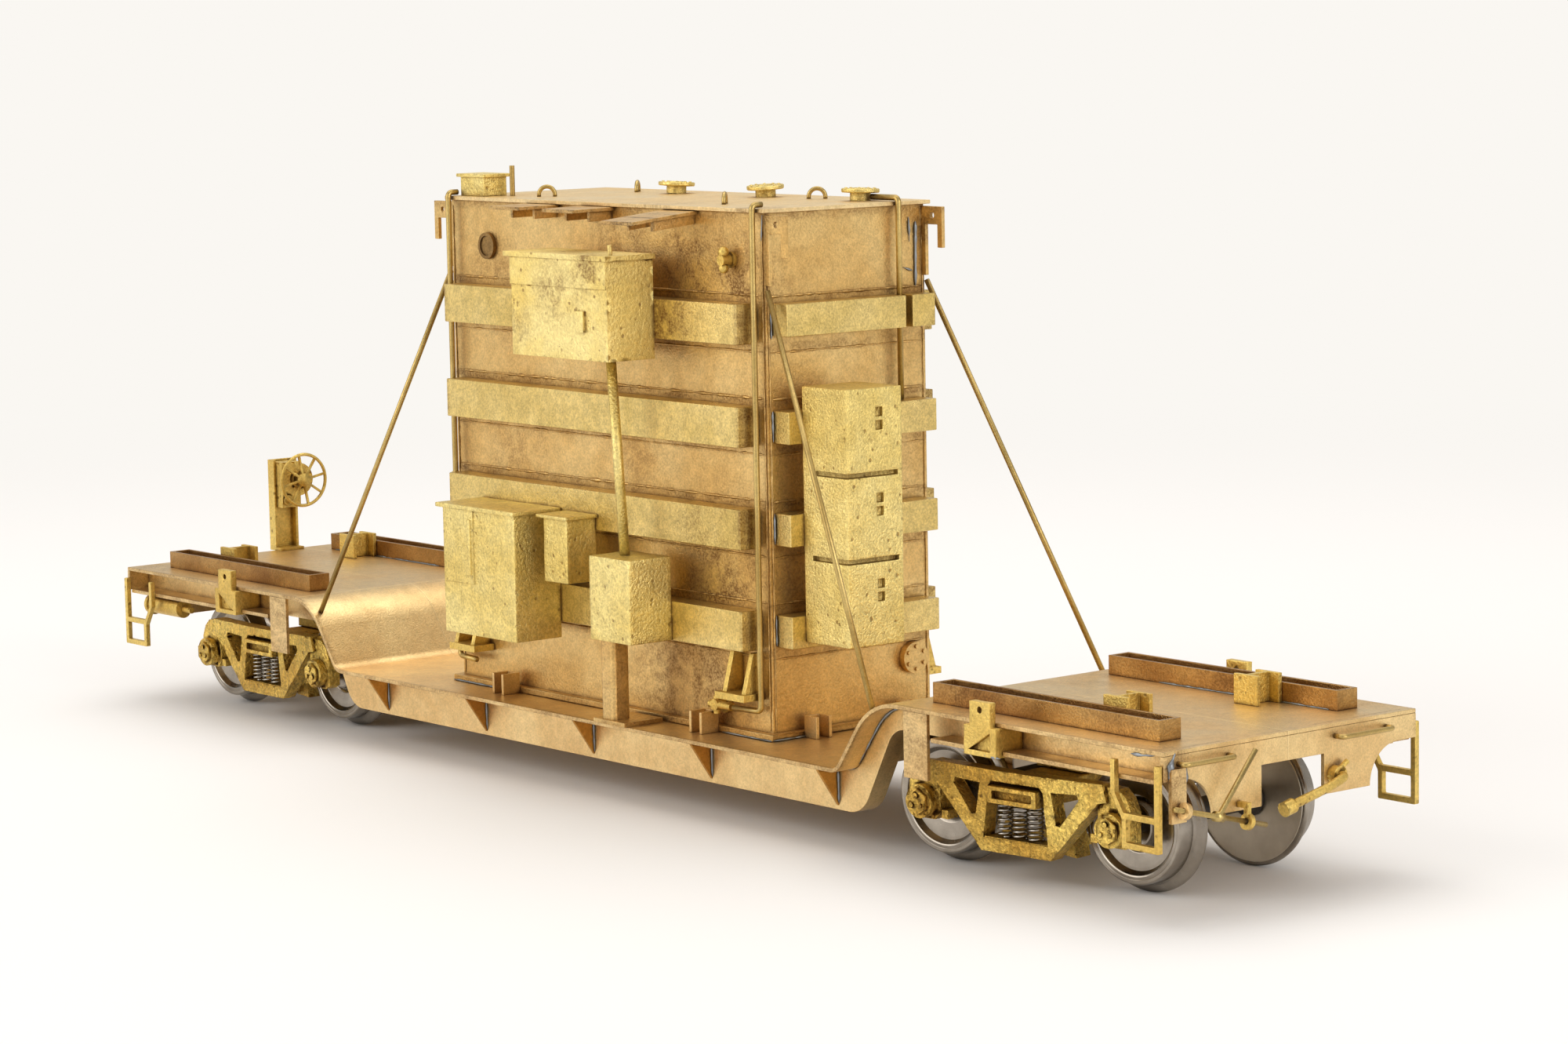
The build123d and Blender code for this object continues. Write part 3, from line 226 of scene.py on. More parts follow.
def brass(name, bright, dark, stain, rough=0.42, grain=5.0, grain_depth=0.02, pits=0.0, crevice=0.9,
          mottle=0.35, blotches=(), blotch_colour=None, speck=0.0, brushed=None, metallic=0.92,
          highlit_grooves=(), blue=0.0, dark_strips=()):
    """Blasted or cast brass with colour drift, grain, casting pits and oxide in the corners; its dark patches and
    strips are stains, and painted shade where the materials below say so; its grooves carry a painted highlight.
    """
    g = Graph(name)
    broad = g.ramp(g.noise(0.11, 4, 0.6, 0.4), 0.32, 0.68)
    fine = g.ramp(g.noise(grain, 3, 0.65), 0.3, 0.7)
    middle = g.ramp(g.noise(0.9, 4, 0.65, 0.3, seed=3.1), 0.35, 0.72)
    colour = g.mix(broad, bright, dark)
    shade = g.math("MULTIPLY", g.math("SUBTRACT", fine, 0.5), mottle)
    shade = g.math("ADD", g.math("MULTIPLY", g.math("SUBTRACT", middle, 0.5), mottle * 0.6), shade)
    lift = g.math("ADD", 1.0, shade)
    grey = g.node("ShaderNodeCombineColor")
    for channel in ("Red", "Green", "Blue"):
        g.link(lift, grey.inputs[channel])
    colour = g.mix(1.0, colour, grey.outputs["Color"], "MULTIPLY")
    hidden = g.crevice(0.7)
    stain_and_shade = g.math("MULTIPLY", g.ramp(hidden, 0.16, 0.62), crevice)
    stain_and_shade = g.math("MULTIPLY", stain_and_shade, g.ramp(g.noise(0.6, 3, 0.6, seed=7.7), 0.25, 0.6, 0.35, 1.0))
    for point, radius, amount in blotches:
        patch = g.math("MULTIPLY", g.near(point, radius, (1, 1, 1)), amount)
        patch = g.math("MULTIPLY", patch, g.ramp(g.noise(0.35, 5, 0.7, 0.6, seed=radius), 0.36, 0.62))
        patch = g.math("MULTIPLY", patch, g.ramp(fine, 0.0, 1.0, 1.0, 0.45))
        stain_and_shade = g.math("MAXIMUM", stain_and_shade, patch)
    # Each dark strip darkens the colour along a plane; by the tank's bands it is painted shade mixed with oxide
    # stain.
    for axis, at, width, amount in dark_strips:
        split = g.node("ShaderNodeSeparateXYZ")
        g.link(g.mm, split.inputs[0])
        off = g.math("ABSOLUTE", g.math("SUBTRACT", split.outputs[axis], at))
        strip_amount = g.math("MULTIPLY", g.ramp(off, width, width * 0.1), amount)
        ragged = g.noise(0.7, 5, 0.7, 0.5, stretch=(0.35, 0.35, 1.0), seed=at)
        strip_amount = g.math("MULTIPLY", strip_amount, g.ramp(ragged, 0.34, 0.62, 0.1, 1.0))
        strip_amount = g.math("MULTIPLY", strip_amount, g.ramp(fine, 0.0, 1.0, 1.0, 0.55))
        stain_and_shade = g.math("MAXIMUM", stain_and_shade, strip_amount)
    # The brown mix holds oxide in the corners, stains, and the painted shade of some strips and patches.
    colour = g.mix(g.math("MINIMUM", stain_and_shade, 0.95), colour, stain)
    if speck:
        dots = g.ramp(g.noise(3.4, 2, 0.75, seed=11.0), 0.64, 0.72)
        where = g.ramp(g.noise(0.3, 3, 0.6, seed=5.0), 0.45, 0.6)
        dots = g.math("MULTIPLY", g.math("MULTIPLY", dots, where), speck)
        colour = g.mix(dots, colour, blotch_colour or stain)
    if blue:
        where = g.ramp(g.noise(0.5, 4, 0.7, seed=23.0), 0.62, 0.7)
        where = g.math("MULTIPLY", where, g.ramp(hidden, 0.05, 0.3))
        colour = g.mix(g.math("MULTIPLY", where, blue), colour, srgb(96, 104, 116))
    height = fine
    if pits:
        hole = g.ramp(g.cells(1.25), 0.16, 0.3)
        few = g.ramp(g.noise(0.8, 2, 0.5, seed=17.0), 0.5, 0.62)
        hole = g.math("SUBTRACT", 1.0, g.math("MULTIPLY", g.math("SUBTRACT", 1.0, hole), few))
        height = g.math("ADD", g.math("MULTIPLY", hole, pits), fine)
        colour = g.mix(g.math("MULTIPLY", g.math("SUBTRACT", 1.0, hole), 0.6), colour, stain)
    if brushed:
        hair = g.noise(1.0, 4, 0.7, stretch=brushed)
        height = g.math("ADD", height, g.math("MULTIPLY", hair, 0.6))
    for axis, at, width in highlit_grooves:
        split = g.node("ShaderNodeSeparateXYZ")
        g.link(g.mm, split.inputs[0])
        off = g.math("ABSOLUTE", g.math("SUBTRACT", split.outputs[axis], at))
        cut = g.ramp(off, width, width * 0.3)
        height = g.math("SUBTRACT", height, g.math("MULTIPLY", cut, 2.0))
        # Painted highlight: a pale brass colour along each groove.
        colour = g.mix(g.math("MULTIPLY", cut, 0.35), colour, srgb(250, 226, 170))
    roughness = g.math("ADD", rough, g.math("MULTIPLY", g.math("SUBTRACT", broad, 0.5), 0.12))
    roughness = g.math("ADD", roughness, g.math("MULTIPLY", stain_and_shade, 0.18))
    s = g.shader
    g.link(colour, s.inputs["Base Color"])
    g.link(g.math("MINIMUM", roughness, 1.0), s.inputs["Roughness"])
    s.inputs["Metallic"].default_value = metallic
    g.link(g.bump(height, grain_depth), s.inputs["Normal"])
    return g.material


def steel(name, colour, rough, dark=srgb(120, 112, 102), metallic=1.0):
    """Bright steel with a faint grain and darker corners."""
    g = Graph(name)
    broad = g.ramp(g.noise(0.25, 4, 0.6), 0.35, 0.7)
    tint = g.mix(g.math("MULTIPLY", broad, 0.5), colour, dark)
    stain = g.math("MULTIPLY", g.ramp(g.crevice(0.8), 0.2, 0.7), 0.7)
    tint = g.mix(stain, tint, srgb(58, 52, 46))
    g.link(tint, g.shader.inputs["Base Color"])
    hair = g.noise(3.0, 3, 0.7, stretch=(1, 1, 1))
    g.link(g.math("ADD", rough, g.math("MULTIPLY", g.math("SUBTRACT", hair, 0.5), 0.2)),
           g.shader.inputs["Roughness"])
    g.shader.inputs["Metallic"].default_value = metallic
    g.link(g.bump(hair, 0.002), g.shader.inputs["Normal"])
    return g.material


BROWN = srgb(108, 70, 36)
PURPLE = srgb(112, 74, 66)

# Blotches are (centre, radius, amount), dark strips are (axis, place, half width, amount).
TANK_BLOTCHES = (
    ((15, -TANK_Y, 54), 11, 0.95), ((22, -TANK_Y, 53), 8, 0.95), ((4, -TANK_Y, 57), 8, 0.6),
    ((19, -TANK_Y, 24), 11, 1.0), ((-18, -TANK_Y, 50.5), 8, 0.6), ((-16, -TANK_Y, 36), 9, 0.4),
    ((26, -6, 25), 8, 0.5), ((26.4, -2, 35), 7, 0.6), ((5, -TANK_Y, 36), 9, 0.4),
    ((14, -TANK_Y, 12), 14, 0.9), ((26.4, 7, 33), 6, 0.3), ((26.6, 11, 58), 3, 1.0),
    ((26.6, -10.4, 51), 4, 0.7))
# Dark strips straddling each band's top and bottom edges are painted shade of the bands on the panels, mixed with
# oxide stain; the last two darken the panels at z 60 under the lid and at z 8.6 by the foot.
TANK_DARK_STRIPS = ([(2, foot + 4.3, 0.9, 0.75) for foot in BAND_FEET]
               + [(2, foot - 0.3, 1.1, 0.6) for foot in BAND_FEET]
               + [(2, 60.0, 1.0, 0.6), (2, 8.6, 0.8, 0.6)])
copper_tank = brass("tank_bronze", srgb(224, 190, 126), srgb(206, 166, 100), BROWN, rough=0.34, grain=4.4,
                    grain_depth=0.014, mottle=0.3, dark_strips=TANK_DARK_STRIPS, blotches=TANK_BLOTCHES,
                    brushed=(0.25, 0.25, 5.0))
# The last two patches, on the deck top beside the far tray, are painted shade and reflection of that tray.
DECK_BLOTCHES = (
    ((60, -15, 15), 6, 0.55), ((71, -16, 12), 7, 0.6), ((86, -16, 14), 5, 0.9),
    ((-60, -15, 15), 7, 0.45), ((-84, -14, 15), 6, 0.5),
    ((80, 14, PLATFORM), 9, 0.4), ((56, 8, PLATFORM), 8, 0.35))
# Dark strips along the deck's lips at y ±16.1 and across it at x 86.3 and x 50.
DECK_DARK_STRIPS = ((0, 86.3, 0.5, 0.4), (1, -16.1, 0.7, 0.6), (1, 16.1, 0.6, 0.5), (0, 50.0, 0.9, 0.3))
# The deck's three grooves are cut into the bump and painted with a pale highlight.
copper_deck = brass("deck_bronze", srgb(234, 204, 146), srgb(216, 180, 122), BROWN, rough=0.35, grain=5.0,
                    grain_depth=0.012, mottle=0.24, dark_strips=DECK_DARK_STRIPS, blotches=DECK_BLOTCHES,
                    highlit_grooves=((0, -50.6, 0.10), (0, 61.3, 0.08), (1, -0.6, 0.08)), blue=0.6)
# The wide last patch, round z 7, makes the bands darker towards the bottom.
band_brass = brass("band_brass", srgb(228, 202, 132), srgb(206, 178, 104), BROWN, rough=0.32, grain=4.6,
                   grain_depth=0.016, mottle=0.4, dark_strips=((0, BAND_END, 0.7, 0.8), (0, -BAND_END, 0.7, 0.6)),
                   brushed=(0.2, 5.0, 5.0),
                   blotches=(((20, -BAND_FACE, 30), 8, 0.5), ((13, -BAND_FACE, 49.5), 8, 1.0),
                             ((0, -BAND_FACE, 7), 30, 0.35)))
cast_brass = brass("box_brass", srgb(234, 214, 142), srgb(218, 192, 112), srgb(112, 74, 28), rough=0.4,
                   grain=3.8, grain_depth=0.035, mottle=0.38, pits=1.2, speck=0.3, crevice=0.75)
stained_box = brass("control_box_brass", srgb(240, 220, 150), srgb(230, 204, 122), srgb(116, 76, 40), rough=0.5,
                    grain=3.2, grain_depth=0.03, mottle=0.22, pits=0.8, speck=0.7, blotch_colour=PURPLE,
                    blotches=(((8, -BOX_FACE, 54.5), 5.0, 0.8), ((3, -BOX_FACE, 52), 5.0, 0.7),
                              ((-3, -BOX_FACE, 48.5), 4.0, 0.4)))
rough_brass = brass("truck_brass", srgb(232, 200, 106), srgb(190, 148, 64), srgb(78, 44, 14), rough=0.34,
                    grain=3.0, grain_depth=0.09, mottle=0.6, pits=1.0, crevice=1.5, speck=0.8)
bracket_brass = brass("bracket_brass", srgb(228, 198, 112), srgb(206, 172, 90), srgb(100, 64, 26), rough=0.42,
                      grain=3.6, grain_depth=0.03, mottle=0.3, pits=0.5, crevice=0.9)
tray_brown = brass("tray_brown", srgb(192, 152, 92), srgb(152, 110, 60), srgb(84, 48, 26), rough=0.3,
                   grain=4.6, grain_depth=0.014, mottle=0.36, brushed=(0.2, 5, 5), crevice=1.0,
                   blotches=(((58, -11, 16), 9, 0.7), ((78, -11, 16), 7, 0.5), ((70, 11, 16), 10, 0.6)))
wire_brass = brass("wire_brass", srgb(200, 174, 110), srgb(172, 144, 84), srgb(80, 60, 36), rough=0.36,
                   grain=6.0, grain_depth=0.008, mottle=0.25, speck=0.5)
# The lid's bronze is lighter than the tank's: a painted reflection of the backdrop grazing the lid's top.
lid_brass = brass("lid_bronze", srgb(236, 210, 158), srgb(222, 190, 134), BROWN, rough=0.42, grain=3.4,
                  grain_depth=0.012, mottle=0.24,
                  blotches=(((8, -9, 60.6), 6, 0.5), ((24, -10, 60.6), 5, 0.7)))
hood_brass = brass("hood_bronze", srgb(222, 186, 124), srgb(198, 158, 98), srgb(84, 66, 50), rough=0.38,
                   grain=4.0, grain_depth=0.015, mottle=0.35, crevice=0.9,
                   dark_strips=((1, -15.7, 0.5, 0.9), (1, -18.6, 0.5, 0.9), (1, -13.3, 0.4, 0.7)))
gauge_brass = brass("gauge_bronze", srgb(168, 134, 80), srgb(122, 92, 52), srgb(66, 46, 28), rough=0.4,
                    grain=4.0, grain_depth=0.015, mottle=0.4, crevice=1.2)
gusset_brass = brass("gusset_brass", srgb(206, 156, 80), srgb(180, 128, 60), srgb(96, 58, 24), rough=0.5,
                     grain=3.0, grain_depth=0.02, mottle=0.25)
wheel_steel = steel("wheel_steel", srgb(166, 158, 146), 0.24, dark=srgb(104, 94, 84))
wheel_back = steel("wheel_back_steel", srgb(216, 206, 188), 0.34, dark=srgb(178, 164, 146))
axle_black = steel("axle_black", srgb(56, 52, 50), 0.5, metallic=0.6)
spring_wire = steel("spring_wire", srgb(176, 170, 160), 0.24, dark=srgb(128, 122, 114))
solder_grey = steel("solder_grey", srgb(150, 154, 158), 0.42, dark=srgb(104, 108, 112))


# ------------------------------------------------------------------ CAD nodes that stay
PLAIN = ("side_bands", "end_bands", "tank_front_panel", "tank_back_panel", "tank_end_panels", "tank_lid",
         "tank_base_strips", "load_trays", "stake_pockets", "deck_cleats", "lid_box")


def dress(node, material, width):
    """Keeps a CAD node: joins its faces, rounds its edges a little and gives it a material."""
    piece = NODES[node]
    mesh = piece.data
    for extra in [a.name for a in mesh.attributes if a.name == "custom_normal"]:
        mesh.attributes.remove(mesh.attributes[extra])
    mesh.polygons.foreach_set("use_smooth", [True] * len(mesh.polygons))
    weld = piece.modifiers.new("weld", "WELD")
    weld.merge_threshold = 2e-6
    if node in PLAIN:
        flat = piece.modifiers.new("flat", "DECIMATE")
        flat.decimate_type = "DISSOLVE"
        flat.angle_limit = math.radians(0.5)
    if width:
        round_ = piece.modifiers.new("round", "BEVEL")
        round_.width = width * MM
        round_.segments = 2
        round_.limit_method = "ANGLE"
        round_.angle_limit = math.radians(32)
        round_.harden_normals = True
        round_.use_clamp_overlap = True
    paint(piece, material)


def paint(piece, material):
    piece.data.materials.clear()
    piece.data.materials.append(material)


def piece_from(name, mesh, material, body, replaces=()):
    made = bpy.data.objects.new(name, mesh)
    bpy.context.scene.collection.objects.link(made)
    paint(made, material)
    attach(made, body)
    if replaces:
        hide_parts(*replaces)
    return made


def smooth(mesh, angle=35):
    mesh.polygons.foreach_set("use_smooth", [True] * len(mesh.polygons))
    mesh.set_sharp_from_angle(angle=math.radians(angle))


# ------------------------------------------------------------------ castings
def casting(node, material, step, round_off, lump, grain, seed, slot="cast_brass"):
    """A cast copy of a CAD node: its edges soften and its faces lose their flatness."""
    bm = bmesh.new()
    bm.from_mesh(NODES[node].data)
    bmesh.ops.scale(bm, vec=(1000, 1000, 1000), verts=bm.verts)
    bmesh.ops.remove_doubles(bm, verts=bm.verts, dist=0.002)
    sharp = [e for e in bm.edges if len(e.link_faces) == 2 and e.calc_face_angle(0) > math.radians(32)]
    bmesh.ops.bevel(bm, geom=sharp, offset=round_off, segments=2, profile=0.6, affect="EDGES",
                    clamp_overlap=True)
    bmesh.ops.triangulate(bm, faces=bm.faces)
    for _ in range(7):
        long = [e for e in bm.edges if e.calc_length() > step]
        if not long:
            break
        bmesh.ops.subdivide_edges(bm, edges=long, cuts=1)
        bmesh.ops.triangulate(bm, faces=[f for f in bm.faces if len(f.verts) > 3])
    bm.normal_update()
    for vertex in bm.verts:
        spot = vertex.co * grain + Vector((seed, seed * 1.7, 0))
        push = noise.noise(spot) * 0.7 + noise.noise(spot * 2.3) * 0.3
        vertex.co += vertex.normal * (push * lump)
    bmesh.ops.scale(bm, vec=(MM, MM, MM), verts=bm.verts)
    mesh = bpy.data.meshes.new(node + "_casting")
    bm.to_mesh(mesh)
    bm.free()
    smooth(mesh, 50)
    made = piece_from(node + "_casting", mesh, material, BODY[node], (node,))


# ------------------------------------------------------------------ turned parts
def lathe(name, profile, steps=72):
    """Turns a closed profile of (radius, along) about +Y, in millimetres."""
    mesh = bpy.data.meshes.new(name)
    bm = bmesh.new()
    rings = []
    for step in range(steps):
        angle = 2 * math.pi * step / steps
        rings.append([bm.verts.new((r * math.cos(angle) * MM, y * MM, r * math.sin(angle) * MM))
                      for r, y in profile])
    count = len(profile)
    for step in range(steps):
        here, after = rings[step], rings[(step + 1) % steps]
        for k in range(count):
            n = (k + 1) % count
            if max(profile[k][0], profile[n][0]) > 1e-6:
                bm.faces.new((here[k], here[n], after[n], after[k]))
    bmesh.ops.remove_doubles(bm, verts=bm.verts, dist=1e-8)
    bmesh.ops.recalc_face_normals(bm, faces=bm.faces)
    bm.to_mesh(mesh)
    bm.free()
    smooth(mesh, 24)
    return mesh


def joint_of(body):
    return next(j for j in frame["joints"] if j["child"] == body)


def wheelsets():
    """Turned wheels and axles. A profile's points are (radius, distance from the middle of the axle)."""
    face = [(2.6 + 0.15 * mark, 9.28 + 0.013 * mark + 0.02 * (mark % 2)) for mark in range(11)]
    tread = [(4.25, 9.42), (4.5, 9.75), (4.62, 9.95), (4.75, 10.0), (5.02, 9.98), (5.05, 10.0), (5.32, 10.0),
             (5.44, 9.93), (5.5, 9.75), (5.58, 8.35)]
    flange = [(5.75, 8.12), (6.1, 7.98), (6.32, 7.86), (6.46, 7.7), (6.5, 7.55), (6.48, 7.4), (6.36, 7.26),
              (6.2, 7.2), (2.35, 7.2)]
    rim = [(2.35, 9.15)] + face + tread + flange
    hub = [(0.8, 9.85), (1.9, 9.85), (2.05, 9.78), (2.12, 9.6), (2.35, 9.15), (2.35, 7.2), (1.05, 7.2),
           (0.8, 7.3)]
    turned = [(6.0 - 0.14 * mark, 7.14 - 0.02 * (mark % 2)) for mark in range(30)]
    back = [(0.85, 7.2), (6.05, 7.2), (6.1, 7.18), (6.05, 7.14)] + turned + [(1.6, 7.14), (0.85, 7.14)]
    axle = [(0, -12.35), (0.78, -11.55), (0.8, -11.5), (0.8, -10.0), (0.8, -7.3), (1.0, -7.1), (1.75, -7.1),
            (1.78, -6.7), (1.45, -6.6), (1.1, -6.1), (1.1, 6.1), (1.45, 6.6), (1.78, 6.7), (1.75, 7.1),
            (1.0, 7.1), (0.8, 7.3), (0.8, 10.0), (0.8, 11.5), (0.78, 11.55), (0, 12.35)]
    for body in ("wheelset_a1", "wheelset_a2", "wheelset_b1", "wheelset_b2"):
        joint = joint_of(body)
        axis = Vector(joint["axis"])
        turn = Vector((0, 1, 0)).rotation_difference(axis).to_matrix().to_4x4()
        place = Matrix.Translation(Vector(joint["pos_m"])) @ turn
        flip = Matrix.Rotation(math.pi, 4, "Z")
        for side, way in (("left", Matrix.Identity(4)), ("right", flip)):
            for part, profile, material in (("rim", rim, wheel_steel), ("hub", hub, wheel_steel),
                                            ("back", back, wheel_back)):
                mesh = lathe(f"{body}_{side}_{part}", profile)
                mesh.transform(place @ way)
                piece_from(f"{body}_{side}_{part}", mesh, material, body)
        mesh = lathe(body + "_axle", axle, 40)
        mesh.transform(place)
        piece_from(body + "_axle", mesh, axle_black, body, (body,))


# ------------------------------------------------------------------ bushings
def ball(bm, centre, radius, squash=0.6):
    """A small flattened ball, in millimetres, added to a mesh being built."""
    made = bmesh.ops.create_icosphere(bm, subdivisions=2, radius=radius)
    for vertex in made["verts"]:
        vertex.co.z *= squash
        vertex.co = (vertex.co + Vector(centre)) * MM


def bushings():
    """Three flanges with a ring of bolts, each set down a little askew."""
    low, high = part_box("lid_bushings")
    floor, top = low.z / MM, high.z / MM
    middle_y = (low.y + high.y) / 2 / MM
    radius = (high.y - low.y) / 2 / MM
    spread = ((high.x - low.x) / MM - 2 * radius) / 2
    parts = []
    for index in range(3):
        x = low.x / MM + radius + spread * index
        lean = Matrix.Rotation(math.radians((-4, 3, -2)[index]), 4, "X")
        profile = [(0, floor), (1.05, floor), (1.05, top - 0.85), (radius - 0.1, top - 0.8),
                   (radius - 0.02, top - 0.7), (radius - 0.02, top - 0.45), (radius - 0.1, top - 0.38),
                   (0.75, top - 0.38), (0.7, top - 0.3), (0, top - 0.3)]
        turned = lathe(f"bushing_{index}", [(r, h - floor) for r, h in profile], 60)
        bm = bmesh.new()
        bm.from_mesh(turned)
        bmesh.ops.transform(bm, matrix=Matrix.Rotation(math.radians(90), 4, "X"), verts=bm.verts)
        bolts = bmesh.new()
        for bolt in range(10):
            angle = 2 * math.pi * bolt / 10
            ball(bolts, (1.5 * math.cos(angle), 1.5 * math.sin(angle), top - floor - 0.36), 0.15)
        for piece in (bm, bolts):
            bmesh.ops.transform(piece, matrix=lean, verts=piece.verts)
            bmesh.ops.translate(piece, vec=Vector((x, middle_y, floor)) * MM, verts=piece.verts)
            parts.append(piece)
    mesh = joined("bushings", parts)
    smooth(mesh, 30)
    piece_from("bushings", mesh, cast_brass, "car_body", ("lid_bushings",))


# ------------------------------------------------------------------ springs
def tube(points, radius, sides=8):
    """A mesh tube along points in millimetres. radius is a number or a list, one for each point."""
    bm = bmesh.new()
    rings = []
    count = len(points)
    previous = None
    for i, point in enumerate(points):
        before = points[i - 1] if i else points[0]
        after = points[i + 1] if i < count - 1 else points[-1]
        run = (Vector(after) - Vector(before)).normalized()
        if previous is None:
            side = run.cross(Vector((0.13, 0.27, 1))).normalized()
        else:
            side = (previous - run * previous.dot(run)).normalized()
        previous = side
        other = run.cross(side)
        r = radius[i] if isinstance(radius, list) else radius
        rings.append([bm.verts.new((Vector(point) + (side * math.cos(a) + other * math.sin(a)) * r) * MM)
                      for a in (2 * math.pi * k / sides for k in range(sides))])
    for here, after in zip(rings, rings[1:]):
        for k in range(sides):
            bm.faces.new((here[k], here[(k + 1) % sides], after[(k + 1) % sides], after[k]))
    bm.faces.new(reversed(rings[0]))
    bm.faces.new(rings[-1])
    bmesh.ops.recalc_face_normals(bm, faces=bm.faces)
    return bm


def joined(name, parts):
    """One mesh of several being built, which are freed."""
    mesh = bpy.data.meshes.new(name)
    whole = bmesh.new()
    for part in parts:
        scrap = bpy.data.meshes.new("scrap")
        part.to_mesh(scrap)
        part.free()
        whole.from_mesh(scrap)
        bpy.data.meshes.remove(scrap)
    whole.to_mesh(mesh)
    whole.free()
    return mesh


def coils():
    """Three coil springs at each end of each bolster; they shorten as the truck bounces."""
    for letter in "ab":
        low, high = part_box(f"truck_{letter}_springs")
        bolster = joint_of(f"truck_{letter}")
        centre = Vector(bolster["pos_m"]) / MM
        lean = math.radians(TRUCK_A_TURN) if letter == "a" else 0.0
        bottom, top = low.z / MM, high.z / MM
        parts = []
        for side in (-1, 1):
            for column in (-1, 0, 1):
                local = Vector((column * SPRING_PITCH, side * SPRING_ROW, 0))
                local.rotate(Matrix.Rotation(lean, 3, "Z"))
                points = []
                for i in range(COIL_STEPS + 1):
                    share = i / COIL_STEPS
                    angle = share * COIL_TURNS * 2 * math.pi + column
                    flat = min(1.0, max(0.0, (share - 0.04) / 0.92))
                    points.append((centre.x + local.x + COIL_RADIUS * math.cos(angle),
                                   centre.y + local.y + COIL_RADIUS * math.sin(angle),
                                   bottom + COIL_WIRE + (top - bottom - 2 * COIL_WIRE) * flat))
                parts.append(tube(points, COIL_WIRE, 6))
        mesh = joined(f"truck_{letter}_coils", parts)
        mesh.polygons.foreach_set("use_smooth", [True] * len(mesh.polygons))
        made = bpy.data.objects.new(f"truck_{letter}_coils", mesh)
        bpy.context.scene.collection.objects.link(made)
        paint(made, spring_wire)
        foot, head = Vector((centre.x, centre.y, bottom)), Vector((centre.x, centre.y, top))
        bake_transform(made, f"truck_{letter}_frames", f"truck_{letter}", foot * MM, head * MM)
        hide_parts(f"truck_{letter}_springs")


# ------------------------------------------------------------------ solder
def bead(points, radius, seed):
    """An uneven run of solder along points in millimetres."""
    run = []
    for start, end in zip(points, points[1:]):
        start, end = Vector(start), Vector(end)
        steps = max(2, int((end - start).length / 0.22))
        for i in range(steps):
            run.append(start.lerp(end, i / steps))
    run.append(Vector(points[-1]))
    sizes = []
    for i, point in enumerate(run):
        wave = 0.75 + 0.7 * noise.noise(point * 1.3 + Vector((seed, 0, 0)))
        tail = min(1.0, (i + 0.6) / 3, (len(run) - i - 0.4) / 3)
        sizes.append(max(0.03, radius * wave * tail))
    return tube([tuple(p) for p in run], sizes, 7)


def s_line(y, offset):
    """Points under the deck plate along one gooseneck."""
    points = []
    for share in range(9):
        angle = math.radians(GOOSENECK_LEAN * share / 8)
        along = PLATFORM_START - GOOSENECK_BEND * math.sin(angle)
        points.append((along, y, DECK_UNDER - GOOSENECK_BEND + GOOSENECK_BEND * math.cos(angle) - offset))
    points.append((43.35, y, 8.75 - offset))
    points.append((42.6, y, 8.15 - offset))
    points.append((41.4, y, 7.82 - offset))
    return points


def seams():
    """The rolled edges that the tank's sheets keep along each band, and the folds at its corners."""
    folds = []
    for foot in BAND_FEET:
        for rise, thick in ((4.75, 0.17), (-0.75, 0.13)):
            z = foot + rise
            for side in (-1, 1):
                y = side * TANK_Y
                x = side * TANK_X
                folds.append(bead([(-25.9, y, z), (25.9, y, z)], thick, z + side))
                folds.append(bead([(x, -9.9, z - 0.1), (x, 9.9, z - 0.1)], thick, z - side))
    for side in (-1, 1):
        for end in (-1, 1):
            for x, y, seed in ((end * 26.1, side * 10.35, side + end), (end * 26.5, side * 9.95, side - end)):
                folds.append(bead([(x, y, TANK_FOOT), (x, y, SEAM_TOP)], 0.1, seed))
    made = piece_from("tank_seams", joined("tank_seams", folds), copper_tank, "car_body")
    smooth(made.data, 60)


